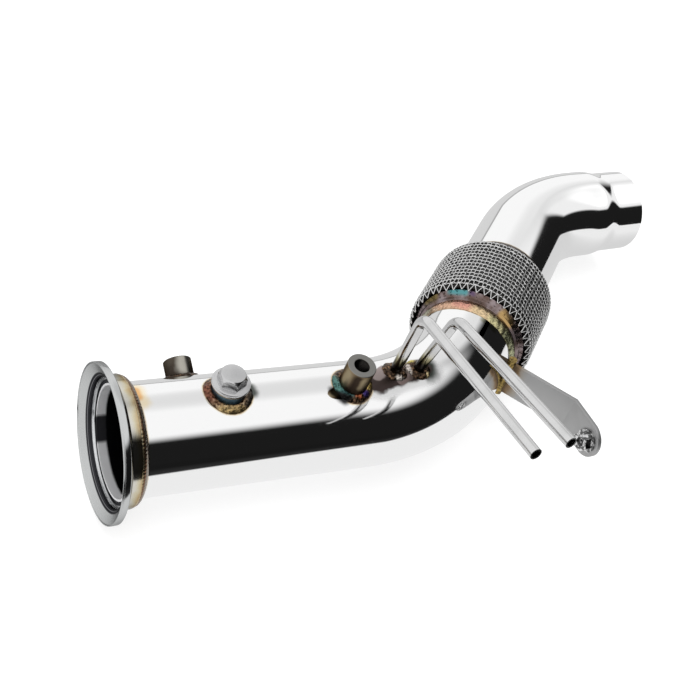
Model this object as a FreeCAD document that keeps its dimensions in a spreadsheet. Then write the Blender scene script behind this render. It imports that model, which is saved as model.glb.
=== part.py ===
import FreeCAD
import Part
import Sketcher
import math
import os
import re

from FreeCAD import Placement, Rotation, Vector

# Turbo downpipe: a mandrel-bent pipe with a clamp flange at the turbo end, a braided flex
# joint, and a bent tail that is swaged down for the next pipe. X runs along the inlet pipe,
# downstream from the flange's front face. The S of the pipe lies in the XY plane, with the
# sensor bosses on the Z side. It rests like that on a table, on the flange's rim and on the
# sleeve of the flex joint.

doc = FreeCAD.newDocument("turbo_downpipe")

# Sizes in millimetres and degrees
SIZES = (
    ("pipe_od", 76, "outside diameter of the pipes"),
    ("pipe_wall", 1.5, "wall of the pipes"),
    ("inlet_run", 187.5, "flange face to the start of the elbow"),
    ("elbow_radius", 142, "centre-line radius of the elbow"),
    ("elbow_angle", 45, "turn of the elbow"),
    ("elbow_tail", 15.5, "straight from the elbow to the flex joint"),
    ("rim_reach", 7.6, "small end of the clamp cone to the rim"),
    ("rim_width", 4.9, "clamp flange, cylindrical rim"),
    ("seat_edge", 0.9, "flat edge round the sealing seat"),
    ("dish_depth", 5.4, "depth of the conical sealing seat"),
    ("seat_step", 4.5, "pipe to the small end of the sealing seat"),
    ("socket_depth", 9, "flange face to the end of the pipe"),
    ("back_step", 1.3, "neck to the small end of the clamp cone"),
    ("back_depth", 8.6, "flange face to the end of the clamp cone"),
    ("neck_wall", 1.2, "wall of the neck behind the clamp cone"),
    ("neck_end", 15, "flange face to the end of the neck"),
    ("neck_weld", 5.4, "leg of the weld behind the neck"),
    ("flex_length", 93, "flex joint, butt to butt"),
    ("nipple_wall", 1.8, "wall of the flex joint's end pieces"),
    ("nipple_length", 22, "length of each end piece"),
    ("collar_start", 8.6, "butt to the foot of the collar"),
    ("collar_foot", 2.5, "thickness of the collar's foot on the pipe"),
    ("collar_rim_start", 13.6, "butt to the collar's rim"),
    ("collar_rim_width", 2.6, "width of the collar's rim"),
    ("collar_flare", 3.6, "rise of the collar from its foot to its rim"),
    ("mesh_start", 9.7, "butt to the end of the mesh sleeve"),
    ("mesh_bulge", 4.3, "rise of the mesh sleeve from its ends to its barrel"),
    ("mesh_thickness", 1.1, "thickness of the mesh sleeve"),
    ("mesh_shoulder", 9, "length of each rounded shoulder"),
    ("mesh_rows", 11, "ridges of stitches along the sleeve"),
    ("mesh_ridge", 0.6, "height of a ridge"),
    ("bellows_root", 2, "pipe to the roots of the bellows"),
    ("bellows_play", 1.3, "crests of the bellows to the mesh sleeve"),
    ("bellows_wall", 0.5, "wall of the bellows"),
    ("bellows_waves", 5, "waves of the bellows"),
    ("liner_wall", 0.8, "wall of the gas liner"),
    ("liner_play", 0.3, "gap round the liner"),
    ("liner_grip", 8, "length of the liner that is welded into the front end piece"),
    ("weld_width", 12.4, "width of a butt weld"),
    ("weld_lead", 4.3, "butt weld, its part on the pipe"),
    ("weld_height", 2.1, "height of a butt weld"),
    ("tail_lead", 68, "flex joint to the start of the tail bend"),
    ("tail_radius", 121.5, "centre-line radius of the tail bend"),
    ("tail_angle", 40.7, "turn of the tail bend"),
    ("tail_run", 10, "straight before the swage"),
    ("swage_length", 17, "length of the swage"),
    ("tail_end_run", 26.5, "straight after the swage"),
    ("tail_od", 71, "outside diameter of the tail end"),
    ("plug_station", 79.4, "flange face to the plugged boss"),
    ("plug_angle", 90.5, "boss direction, from Y towards Z"),
    ("plug_boss_wall", 3.55, "wall of the plugged boss"),
    ("plug_boss_rise", 5.8, "face of the plugged boss above the pipe"),
    ("plug_thread_od", 16.4, "core of the plug thread"),
    ("plug_weld_width", 4.75, "weld round the plugged boss"),
    ("washer_edge", 0.35, "sealing washer over the boss"),
    ("washer_thickness", 1.4, "sealing washer"),
    ("plug_flange_edge", 0.7, "flange of the plug over the washer"),
    ("plug_flange_height", 2.6, "flange of the plug"),
    ("plug_head_flats", 17, "plug head, across flats"),
    ("plug_head_height", 7.6, "plug head"),
    ("plug_shank", 9, "plug thread below the washer"),
    ("probe_back", 20, "front open boss, back from the elbow"),
    ("probe_angle", 97, "front open boss direction"),
    ("probe_rise", 20.8, "face of the front open boss above the pipe"),
    ("probe_wall", 4.7, "wall of the front open boss"),
    ("rear_wall", 4.2, "wall of the rear open boss"),
    ("probe_thread_od", 10.6, "core of the open bosses' thread"),
    ("probe_mouth", 0.6, "chamfer at the thread's mouth"),
    ("probe_weld_width", 4.5, "weld round the front open boss"),
    ("rear_station", 62.5, "flange face to the rear open boss"),
    ("rear_angle", 22, "rear open boss direction"),
    ("rear_rise", 13.5, "face of the rear open boss above the pipe"),
    ("rear_weld_width", 3.5, "weld round the rear open boss"),
    ("drill_play", 0.7, "hole in the pipe round the thread of a boss"),
    ("boss_weld_rise", 4.2, "height of a boss weld"),
    ("boss_weld_neck", 1.2, "width of a boss weld at its top"),
    ("tube_od", 8, "pressure tubes"),
    ("tube_wall", 1, "wall of the pressure tubes"),
    ("tube_bend", 10, "centre-line radius of the tube bends"),
    ("tube_weld_width", 5, "weld round a pressure tube"),
    ("front_tube_beyond", 16.2, "front tube, on from the start of the elbow"),
    ("front_tube_side", 3, "front tube foot, off the inlet axis"),
    ("front_tube_leg", 94, "pipe plane to the front tube's corner"),
    ("front_tube_lean", -5, "front tube, corner against foot along Y"),
    ("front_tube_shift", 0.5, "front tube, corner against foot along X"),
    ("front_tube_run", 134.6, "front tube, corner to end"),
    ("front_tube_heading", -86.7, "front tube run, from X towards Y"),
    ("front_tube_rise", 7, "front tube run, above the pipe plane"),
    ("rear_tube_beyond", 34.5, "rear tube, on from the start of the elbow"),
    ("rear_tube_side", 2.5, "rear tube foot, off the inlet axis"),
    ("rear_tube_leg", 92.2, "pipe plane to the rear tube's corner"),
    ("rear_tube_lean", -7, "rear tube, corner against foot along Y"),
    ("rear_tube_shift", 7.6, "rear tube, corner against foot along X"),
    ("rear_tube_run", 127, "rear tube, corner to end"),
    ("rear_tube_heading", -84.6, "rear tube run, from X towards Y"),
    ("rear_tube_rise", 7.6, "rear tube run, above the pipe plane"),
    ("strap_turn", 42.4, "place of the strap round the elbow"),
    ("strap_width", 28, "bracket strap"),
    ("strap_thickness", 3, "bracket strap"),
    ("strap_centre", 13, "strap's middle, above the pipe plane"),
    ("strap_root", 16, "strap's length inside the elbow line"),
    ("strap_reach", 54.4, "elbow surface to the strap's bend"),
    ("strap_heading", -51.3, "strap's first leg, from X towards Y"),
    ("strap_bend", 35, "turn of the strap's bend"),
    ("strap_end", 38.2, "bend to the strap's end"),
    ("strap_hole_back", 11.6, "strap's end to the nut"),
    ("strap_hole_play", 1.1, "hole under the nut, round its thread"),
    ("strap_weld", 3.2, "radius of the weld at the strap's root"),
    ("nut_flats", 13, "nut, across flats"),
    ("nut_height", 6.8, "nut, over its flange"),
    ("nut_flange_od", 17.8, "nut flange"),
    ("nut_flange_height", 1.6, "nut flange"),
    ("nut_thread_od", 6.8, "core of the nut thread"),
)

sheet = doc.addObject("Spreadsheet::Sheet", "Sizes")
for row, (alias, value, meaning) in enumerate(SIZES, start=1):
    sheet.set(f"A{row}", alias)
    sheet.set(f"B{row}", str(value))
    sheet.set(f"C{row}", meaning)
    sheet.setAlias(f"B{row}", alias)
# Sizes that follow from others
DERIVED = (
    ("seat_od", "pipe_od + 2 * seat_step", "small end of the sealing seat"),
    ("neck_od", "seat_od + 2 * neck_wall", "neck behind the clamp cone"),
    ("back_od", "neck_od + 2 * back_step", "small end of the clamp cone"),
    ("rim_od", "back_od + 2 * rim_reach", "clamp flange, over the rim"),
    ("collar_foot_od", "pipe_od + 2 * collar_foot", "collar, over its foot"),
    ("collar_rim_od", "collar_foot_od + 2 * collar_flare", "collar, over its rim"),
    ("sleeve_end_od", "collar_rim_od + 2 * mesh_thickness", "mesh sleeve, over its ends"),
    ("mesh_od", "sleeve_end_od + 2 * mesh_bulge", "mesh sleeve, between its ridges"),
    ("bellows_root_od", "pipe_od + 2 * bellows_root", "bellows, at the roots"),
    ("bellows_crest_od", "mesh_od - 2 * mesh_thickness - 2 * bellows_play",
     "bellows, at the crests"),
    ("plug_boss_top", "pipe_od / 2 + plug_boss_rise", "pipe axis to the plugged boss face"),
    ("probe_top", "pipe_od / 2 + probe_rise", "pipe axis to the front open boss face"),
    ("rear_top", "pipe_od / 2 + rear_rise", "pipe axis to the rear open boss face"),
    ("plug_boss_od", "plug_thread_od + 2 * plug_boss_wall", "plugged boss"),
    ("washer_od", "plug_boss_od + 2 * washer_edge", "sealing washer"),
    ("plug_flange_od", "washer_od + 2 * plug_flange_edge", "flange of the plug"),
    ("plug_weld_od", "plug_boss_od + 2 * plug_weld_width", "weld round the plugged boss"),
    ("probe_od", "probe_thread_od + 2 * probe_wall", "front open boss"),
    ("rear_od", "probe_thread_od + 2 * rear_wall", "rear open boss"),
    ("probe_station", "inlet_run - probe_back", "flange face to the front open boss"),
    ("probe_weld_od", "probe_od + 2 * probe_weld_width", "weld round the front open boss"),
    ("rear_weld_od", "rear_od + 2 * rear_weld_width", "weld round the rear open boss"),
    ("front_tube_station", "inlet_run + front_tube_beyond", "flange face to the front tube"),
    ("rear_tube_station", "inlet_run + rear_tube_beyond", "flange face to the rear tube"),
    ("tube_weld_od", "tube_od + 2 * tube_weld_width", "weld round a pressure tube"),
    ("strap_hole_od", "nut_thread_od + 2 * strap_hole_play", "hole under the nut"),
)
for row, (alias, formula, meaning) in enumerate(DERIVED, start=len(SIZES) + 1):
    sheet.set(f"A{row}", alias)
    sheet.set(f"B{row}", f"={formula}")
    sheet.set(f"C{row}", meaning)
    sheet.setAlias(f"B{row}", alias)
doc.recompute()

ALIASES = {alias for alias, _, _ in SIZES + DERIVED}


def size(formula):
    """Value of a formula in the sheet's names, such as "pipe_od / 2"."""
    return float(sheet.evalExpression(formula))


def linked(formula):
    """The same formula as an expression that any object can be bound to."""
    return re.sub("[a-z_]+", lambda m: f"Sizes.{m[0]}" if m[0] in ALIASES else m[0], formula)


def bind(obj, **formulas):
    """Ties each named property of an object to a formula."""
    for prop, formula in formulas.items():
        obj.setExpression(prop, linked(formula))


def primitive(kind, name, place=Placement(), **formulas):
    """A Part primitive with its sizes bound to the sheet."""
    obj = doc.addObject(f"Part::{kind}", name)
    obj.Placement = place
    bind(obj, **formulas)
    return obj


def cut(name, base, *tools):
    """The base with each tool taken away in turn."""
    for number, tool in enumerate(tools, start=1):
        last = number == len(tools)
        result = doc.addObject("Part::Cut", name if last else f"{name}_step_{number}")
        result.Base = base
        result.Tool = tool
        base = result
    return base


def fuse(name, *shapes):
    """Several solids that are one piece of metal."""
    result = doc.addObject("Part::MultiFuse", name)
    result.Shapes = list(shapes)
    return result


def sketch_on(owner, role, name):
    """An empty sketch on one of a body's own origin planes."""
    sketch = owner.newObject("Sketcher::SketchObject", name)
    plane = next(item for item in owner.Origin.OriginFeatures if item.Role == role)
    sketch.AttachmentSupport = [(plane, "")]
    sketch.MapMode = "FlatFace"
    return sketch


def outline(sketch, corners):
    """A closed outline whose corners lie at pairs of formulas, measured from the origin."""
    points = [Vector(size(across), size(up), 0) for across, up in corners]
    count = len(points)
    for start in range(count):
        sketch.addGeometry(Part.LineSegment(points[start], points[(start + 1) % count]))
    for start in range(count):
        sketch.addConstraint(Sketcher.Constraint("Coincident", start, 2, (start + 1) % count, 1))
    for corner, formulas in enumerate(corners):
        for kind, formula in zip(("DistanceX", "DistanceY"), formulas):
            rule = Sketcher.Constraint(kind, -1, 1, corner, 1, size(formula))
            number = sketch.addConstraint(rule)
            sketch.setExpression(f"Constraints[{number}]", linked(formula))


def turned(label, corners):
    """A turned piece: an outline of (station along X, radius) spun about X."""
    body = doc.addObject("PartDesign::Body", label)
    profile = sketch_on(body, "XY_Plane", f"{label}_profile")
    outline(profile, corners)
    spin = body.newObject("PartDesign::Revolution", f"{label}_turn")
    spin.Profile = profile
    spin.ReferenceAxis = (profile, ["H_Axis"])
    spin.Angle = 360
    return body


def circle_at(name, station, diameter):
    """A circle across the X axis, as the section of a sweep."""
    ring = doc.addObject("Sketcher::SketchObject", name)
    ring.Placement = Placement(Vector(size(station), 0, 0), Rotation(Vector(0, 1, 0), 90))
    ring.setExpression("Placement.Base.x", linked(station))
    ring.addGeometry(Part.Circle(Vector(), Vector(0, 0, 1), size(diameter) / 2))
    ring.addConstraint(Sketcher.Constraint("Coincident", 0, 3, -1, 1))
    number = ring.addConstraint(Sketcher.Constraint("Diameter", 0, size(diameter)))
    ring.setExpression(f"Constraints[{number}]", linked(diameter))
    return ring


def bent_route(name, start, bend_start, radius, angle, tail):
    """A centre line in the XY plane: along X, round a bend, then straight on.

    A positive angle bends towards Y. The start, the start of the bend, the radius, the
    angle and the last straight are formulas."""
    turn = size(angle)
    side = 1 if turn > 0 else -1
    reach = size(radius)
    first = Vector(size(start), 0, 0)
    corner = Vector(size(bend_start), 0, 0)
    centre = corner + Vector(0, side * reach, 0)
    inward = Vector(0, -side * reach, 0)
    bend_end = centre + Rotation(Vector(0, 0, 1), turn).multVec(inward)
    ahead = Rotation(Vector(0, 0, 1), turn).multVec(Vector(1, 0, 0))
    at_corner = -side * math.pi / 2
    angles = sorted((at_corner, at_corner + math.radians(turn)))
    route = doc.addObject("Sketcher::SketchObject", name)
    route.addGeometry(Part.LineSegment(first, corner))
    route.addGeometry(Part.ArcOfCircle(Part.Circle(centre, Vector(0, 0, 1), reach), *angles))
    route.addGeometry(Part.LineSegment(bend_end, bend_end + ahead * size(tail)))
    near, far = (1, 2) if side > 0 else (2, 1)
    for rule in (("PointOnObject", 0, 1, -1), ("Horizontal", 0),
                 ("Tangent", 0, 2, 1, near), ("Tangent", 1, far, 2, 1)):
        route.addConstraint(Sketcher.Constraint(*rule))
    for rule, formula in ((("DistanceX", -1, 1, 0, 1), start),
                          (("DistanceX", -1, 1, 0, 2), bend_start),
                          (("Radius", 1), radius),
                          (("Distance", 2), tail)):
        number = route.addConstraint(Sketcher.Constraint(*rule, size(formula)))
        route.setExpression(f"Constraints[{number}]", linked(formula))
    number = route.addConstraint(Sketcher.Constraint("Angle", 0, 1, 2, 1, math.radians(turn)))
    route.setExpression(f"Constraints[{number}]", linked(f"({angle}) * 1 deg"))
    return route


def swept(name, section, route):
    """A solid rod with the given section along a route."""
    rod = doc.addObject("Part::Sweep", name)
    rod.Sections = [section]
    rod.Spine = (route, ["Edge1", "Edge2", "Edge3"])
    rod.Solid = True
    return rod


def towards(start, direction):
    """A place whose Z axis points in the given direction."""
    return Placement(start, Rotation(Vector(0, 0, 1), direction))


pieces = []


def keep(label, obj, place=Placement()):
    """Names a finished piece and moves it to its place on the pipe."""
    obj.Label = label
    obj.Placement = place.multiply(obj.Placement)
    pieces.append(obj)
    return obj


# Main pipe: one tube, straight from the flange and bent once into the flex joint
main_route = bent_route("main_route", "socket_depth", "inlet_run", "elbow_radius", "elbow_angle",
                        "elbow_tail")
pipe_core = swept("pipe_core", circle_at("main_outside", "socket_depth", "pipe_od"), main_route)
pipe_bore = swept("pipe_bore",
                  circle_at("main_inside", "socket_depth", "pipe_od - 2 * pipe_wall"), main_route)


def boss_axis(name):
    """Where a boss's axis leaves the pipe's axis, and its outward direction."""
    angle = math.radians(size(f"{name}_angle"))
    start = Vector(size(f"{name}_station"), 0, 0)
    return towards(start, Vector(0, math.cos(angle), math.sin(angle)))


def tube_points(name):
    """Foot, corner and end of a pressure tube's centre line."""
    foot = Vector(size(f"{name}_station"), size(f"{name}_side"), size("pipe_od / 2"))
    corner = Vector(foot.x + size(f"{name}_shift"), foot.y + size(f"{name}_lean"),
                    size(f"{name}_leg"))
    heading = Rotation(Vector(0, 0, 1), size(f"{name}_heading"))
    rise = Rotation(Vector(0, 1, 0), -size(f"{name}_rise"))
    run = heading.multVec(rise.multVec(Vector(1, 0, 0)))
    return foot, corner, corner + run * size(f"{name}_run")


def below_foot(name):
    """Point on a tube's leg, inside the pipe wall, and the leg's direction."""
    foot, corner, _ = tube_points(name)
    leg = (corner - foot).normalize()
    return foot - leg * size("pipe_od / 4"), leg


drills = [primitive("Cylinder", f"{name}_drill", boss_axis(name),
                    Radius=f"{thread} / 2 + drill_play", Height="pipe_od")
          for name, thread in (("plug", "plug_thread_od"), ("probe", "probe_thread_od"),
                               ("rear", "probe_thread_od"))]
drills += [primitive("Cylinder", f"{name}_drill", towards(*below_foot(name)),
                     Radius="tube_od / 2 - tube_wall", Height="pipe_od / 2")
           for name in ("front_tube", "rear_tube")]
keep("main_pipe", cut("main_pipe", pipe_core, pipe_bore, fuse("pipe_holes", *drills)))

# Inlet flange: turned ring with a conical seat in front and a clamp cone behind its rim
keep("inlet_flange", turned("inlet_flange", (
    ("0", "rim_od / 2"),
    ("rim_width", "rim_od / 2"),
    ("back_depth", "back_od / 2"),
    ("back_depth", "neck_od / 2"),
    ("neck_end", "neck_od / 2"),
    ("neck_end", "pipe_od / 2"),
    ("socket_depth", "pipe_od / 2"),
    ("socket_depth", "seat_od / 2"),
    ("dish_depth", "seat_od / 2"),
    ("seat_edge", "rim_od / 2 - seat_edge"),
    ("0", "rim_od / 2 - seat_edge"),
)))

# Weld behind the neck: a convex bead between the neck's end and the pipe
WELD_STEPS = (0, 30, 60, 90)
keep("inlet_weld", turned("inlet_weld", (
    ("neck_end", "pipe_od / 2"),
    *((f"neck_end + neck_weld * sin({step})", f"pipe_od / 2 + neck_weld * cos({step})")
      for step in WELD_STEPS),
)))

# Stations of the flex joint, butt to butt, on the line that leaves the elbow
onward = Rotation(Vector(0, 0, 1), size("elbow_angle"))
backward = Rotation(Vector(0, 0, 1), size("elbow_angle") + 180)
elbow_end = Vector(size("inlet_run + elbow_radius * sin(elbow_angle)"),
                   size("elbow_radius * (1 - cos(elbow_angle))"), 0)
front_butt = elbow_end + onward.multVec(Vector(size("elbow_tail"), 0, 0))
rear_butt = front_butt + onward.multVec(Vector(size("flex_length"), 0, 0))
FLEX_ENDS = (("front", Placement(front_butt, onward)), ("rear", Placement(rear_butt, backward)))

for end, place in FLEX_ENDS:
    # End piece: a nipple the size of the pipe with a flared collar that carries the sleeve
    keep(f"flex_collar_{end}", turned(f"flex_collar_{end}", (
        ("0", "pipe_od / 2 - nipple_wall"),
        ("0", "pipe_od / 2"),
        ("collar_start", "pipe_od / 2"),
        ("collar_start + collar_foot / 3", "collar_foot_od / 2"),
        ("collar_rim_start - collar_flare * 0.6", "collar_foot_od / 2 + collar_flare / 4"),
        ("collar_rim_start", "collar_rim_od / 2"),
        ("collar_rim_start + collar_rim_width", "collar_rim_od / 2"),
        ("collar_rim_start + collar_rim_width", "pipe_od / 2"),
        ("nipple_length", "pipe_od / 2"),
        ("nipple_length", "pipe_od / 2 - nipple_wall"),
    )), place)
    # Butt weld: a low convex bead over the joint of pipe and nipple
    keep(f"flex_weld_{end}", turned(f"flex_weld_{end}", (
        ("-weld_lead", "pipe_od / 2"),
        ("weld_width * 0.2 - weld_lead", "pipe_od / 2 + weld_height * 0.7"),
        ("weld_width * 0.4 - weld_lead", "pipe_od / 2 + weld_height"),
        ("weld_width * 0.6 - weld_lead", "pipe_od / 2 + weld_height"),
        ("weld_width * 0.8 - weld_lead", "pipe_od / 2 + weld_height * 0.7"),
        ("weld_width - weld_lead", "pipe_od / 2"),
    )), place)

flex_place = FLEX_ENDS[0][1]

# Mesh sleeve: knitted wire pulled over the bellows, rounded in to the collars' rims
SHOULDER_STEPS = (0, 30, 60, 90)
sleeve_start = "mesh_start + mesh_shoulder * (1 - cos({0}))"
sleeve_radius = "sleeve_end_od / 2 + mesh_bulge * sin({0})"
shoulder = [(sleeve_start.format(step), sleeve_radius.format(step)) for step in SHOULDER_STEPS]
sleeve = list(shoulder)
rows = int(size("mesh_rows"))
row_width = "(flex_length - 2 * mesh_start - 2 * mesh_shoulder) / mesh_rows"
for row in range(rows):
    sleeve.append((f"mesh_start + mesh_shoulder + {row_width} * {row + 0.5}",
                   "mesh_od / 2 + mesh_ridge"))
    if row < rows - 1:
        sleeve.append((f"mesh_start + mesh_shoulder + {row_width} * {row + 1}", "mesh_od / 2"))
sleeve += [(f"flex_length - ({across})", up) for across, up in reversed(shoulder)]
collar_back = "collar_rim_start + collar_rim_width"
sleeve += [
    ("flex_length - mesh_start", "collar_rim_od / 2"),
    (f"flex_length - ({collar_back})", "collar_rim_od / 2"),
    ("flex_length - mesh_start - mesh_shoulder", "mesh_od / 2 - mesh_thickness"),
    ("mesh_start + mesh_shoulder", "mesh_od / 2 - mesh_thickness"),
    (collar_back, "collar_rim_od / 2"),
    ("mesh_start", "collar_rim_od / 2"),
]
keep("flex_mesh_sleeve", turned("flex_mesh_sleeve", sleeve), flex_place)

# Bellows: thin gas-tight wall in waves, its cuffs seated on the two nipples
wave_start = "(nipple_length + 1)"
wave_length = f"(flex_length - 2 * {wave_start}) / bellows_waves"
outer_wall = [
    (collar_back, "pipe_od / 2 + bellows_wall"),
    ("nipple_length", "pipe_od / 2 + bellows_wall"),
    (wave_start, "bellows_root_od / 2"),
]
for wave in range(int(size("bellows_waves"))):
    outer_wall.append((f"{wave_start} + {wave_length} * {wave + 0.5}", "bellows_crest_od / 2"))
    outer_wall.append((f"{wave_start} + {wave_length} * {wave + 1}", "bellows_root_od / 2"))
outer_wall += [
    ("flex_length - nipple_length", "pipe_od / 2 + bellows_wall"),
    (f"flex_length - ({collar_back})", "pipe_od / 2 + bellows_wall"),
]
inner_wall = [(across, f"{up} - bellows_wall * 2") for across, up in outer_wall[2:-2]]
cuff_ends = [
    (f"flex_length - ({collar_back})", "pipe_od / 2"),
    ("flex_length - nipple_length", "pipe_od / 2"),
]
cuff_starts = [
    ("nipple_length", "pipe_od / 2"),
    (collar_back, "pipe_od / 2"),
]
keep("flex_bellows",
     turned("flex_bellows", outer_wall + cuff_ends + inner_wall[::-1] + cuff_starts), flex_place)

# Liner: plain tube that keeps the gas off the bellows, held in the front end piece only
liner_outside = "pipe_od / 2 - nipple_wall - liner_play"
keep("flex_liner", turned("flex_liner", (
    ("collar_start", "pipe_od / 2 - nipple_wall"),
    ("collar_start + liner_grip", "pipe_od / 2 - nipple_wall"),
    ("collar_start + liner_grip", liner_outside),
    ("flex_length - collar_start", liner_outside),
    ("flex_length - collar_start", f"{liner_outside} - liner_wall"),
    ("collar_start", f"{liner_outside} - liner_wall"),
)), flex_place)

# Tail pipe: one tube, bent back in line with the inlet and swaged down at its end
tail_place = Placement(rear_butt, onward)
tail_route = bent_route("tail_route", "0", "tail_lead", "tail_radius", "-tail_angle", "tail_run")
tail_core = swept("tail_core", circle_at("tail_outside", "0", "pipe_od"), tail_route)
tail_bore = swept("tail_bore", circle_at("tail_inside", "0", "pipe_od - 2 * pipe_wall"),
                  tail_route)
tail_tube = cut("tail_tube", tail_core, tail_bore)
swage_turn = Rotation(Vector(0, 0, 1), -size("tail_angle"))
swage_start = Vector(size("tail_lead + tail_radius * sin(tail_angle)"),
                     -size("tail_radius * (1 - cos(tail_angle))"), 0)
swage_start += swage_turn.multVec(Vector(size("tail_run"), 0, 0))
SWAGE_STEPS = (0, 0.25, 0.5, 0.75, 1)
swage_outside = [(f"swage_length * {step}",
                  f"pipe_od / 2 - (pipe_od - tail_od) / 4 * (1 - cos(180 * {step}))")
                 for step in SWAGE_STEPS]
swage_outside.append(("swage_length + tail_end_run", "tail_od / 2"))
swage_inside = [(across, f"{up} - pipe_wall") for across, up in reversed(swage_outside)]
swage = turned("swage", swage_outside + swage_inside)
swage.Placement = Placement(swage_start, swage_turn)
keep("tail_pipe", fuse("tail_pipe", tail_tube, swage), tail_place)


def boss(label, name, outside, thread, top):
    """A threaded boss: a round bar saddled onto the pipe, drilled, with an eased mouth."""
    place = boss_axis(name)
    bar = primitive("Cylinder", f"{label}_bar", place, Radius=f"{outside} / 2", Height=top)
    hole = primitive("Cylinder", f"{label}_hole", place, Radius=f"{thread} / 2", Height=top)
    mouth = primitive("Cone", f"{label}_mouth",
                      place.multiply(Placement(Vector(0, 0, size(f"{top} - probe_mouth")),
                                               Rotation())),
                      Radius1=f"{thread} / 2", Radius2=f"{thread} / 2 + probe_mouth",
                      Height="probe_mouth")
    return keep(label, cut(label, bar, pipe_core, hole, mouth))


def boss_weld(label, place, foot_od, held_od):
    """A fillet of weld round a boss or a tube, down to the pipe's own surface."""
    below = size("boss_weld_rise")
    start = place.multiply(Placement(Vector(0, 0, size("pipe_od / 2") - below), Rotation()))
    skirt = primitive("Cylinder", f"{label}_skirt", start,
                      Radius=f"{foot_od} / 2", Height="boss_weld_rise")
    slope = primitive("Cone", f"{label}_slope",
                      start.multiply(Placement(Vector(0, 0, below), Rotation())),
                      Radius1=f"{foot_od} / 2", Radius2=f"{held_od} / 2 + boss_weld_neck",
                      Height="boss_weld_rise")
    held = primitive("Cylinder", f"{label}_held", start,
                     Radius=f"{held_od} / 2", Height="3 * boss_weld_rise")
    return keep(label, cut(label, fuse(f"{label}_fillet", skirt, slope), pipe_core, held))


# Plugged boss for a lambda probe, with its washer and hexagon plug
boss("plug_boss", "plug", "plug_boss_od", "plug_thread_od", "plug_boss_top")
boss_weld("plug_boss_weld", boss_axis("plug"), "plug_weld_od", "plug_boss_od")


def on_plug(height, turn=0):
    """A place on the plug's axis, at a height over the pipe's axis."""
    spin = Rotation(Vector(0, 0, 1), turn)
    return boss_axis("plug").multiply(Placement(Vector(0, 0, size(height)), spin))


washer_disc = primitive("Cylinder", "washer_disc", on_plug("plug_boss_top"),
                        Radius="washer_od / 2", Height="washer_thickness")
washer_hole = primitive("Cylinder", "washer_hole", on_plug("plug_boss_top"),
                        Radius="plug_thread_od / 2", Height="washer_thickness")
keep("plug_washer", cut("plug_washer", washer_disc, washer_hole))

washer_top = "plug_boss_top + washer_thickness"
head_top = f"{washer_top} + plug_flange_height + plug_head_height"
plug_flange = primitive("Cylinder", "plug_flange", on_plug(washer_top),
                        Radius="plug_flange_od / 2", Height="plug_flange_height")
plug_head = primitive("Prism", "plug_head", on_plug(f"{washer_top} + plug_flange_height", 30),
                      Circumradius="plug_head_flats / 2 / cos(30)", Height="plug_head_height")
plug_crown = primitive("Cone", "plug_crown", on_plug(washer_top),
                       Radius1="plug_head_flats * 0.85", Radius2="plug_head_flats * 0.47",
                       Height="plug_flange_height + plug_head_height")
head_common = doc.addObject("Part::Common", "plug_head_eased")
head_common.Base = plug_head
head_common.Tool = plug_crown
plug_thread = primitive("Cylinder", "plug_thread", on_plug(f"{washer_top} - plug_shank"),
                        Radius="plug_thread_od / 2", Height="plug_shank")
keep("lambda_plug", fuse("lambda_plug", plug_flange, head_common, plug_thread))

# Open threaded bosses: one in front for the temperature probe and one behind
boss("probe_boss", "probe", "probe_od", "probe_thread_od", "probe_top")
boss_weld("probe_boss_weld", boss_axis("probe"), "probe_weld_od", "probe_od")
boss("rear_boss", "rear", "rear_od", "probe_thread_od", "rear_top")
boss_weld("rear_boss_weld", boss_axis("rear"), "rear_weld_od", "rear_od")


def bent_rod(points, radius):
    """A round rod along two straight legs and a tangent bend."""
    start, corner, end = points
    back = (start - corner).normalize()
    ahead = (end - corner).normalize()
    half_turn = (math.pi - back.getAngle(ahead)) / 2
    bend = size("tube_bend")
    setback = bend * math.tan(half_turn)
    bend_in = corner + back * setback
    bend_out = corner + ahead * setback
    inward = (back + ahead).normalize()
    middle = corner + inward * (bend / math.cos(half_turn) - bend)
    path = Part.Wire([Part.makeLine(start, bend_in),
                      Part.Arc(bend_in, middle, bend_out).toShape(),
                      Part.makeLine(bend_out, end)])
    section = Part.Wire([Part.makeCircle(radius, start, back * -1)])
    return path.makePipeShell([section], True, False)


# Pressure tubes: two thin tubes that stand off the elbow and bend over to one side
for name in ("front_tube", "rear_tube"):
    foot, corner, end = tube_points(name)
    start, leg = below_foot(name)
    rod = doc.addObject("Part::Feature", f"{name}_rod")
    rod.Shape = bent_rod((start, corner, end), size("tube_od / 2"))
    core = doc.addObject("Part::Feature", f"{name}_bore")
    core.Shape = bent_rod((start, corner, end), size("tube_od / 2 - tube_wall"))
    keep(f"pressure_{name}", cut(f"pressure_{name}", rod, core, pipe_core))
    tube_line = towards(foot - leg * size("pipe_od / 2"), leg)
    boss_weld(f"pressure_{name}_weld", tube_line, "tube_weld_od", "tube_od")

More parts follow.
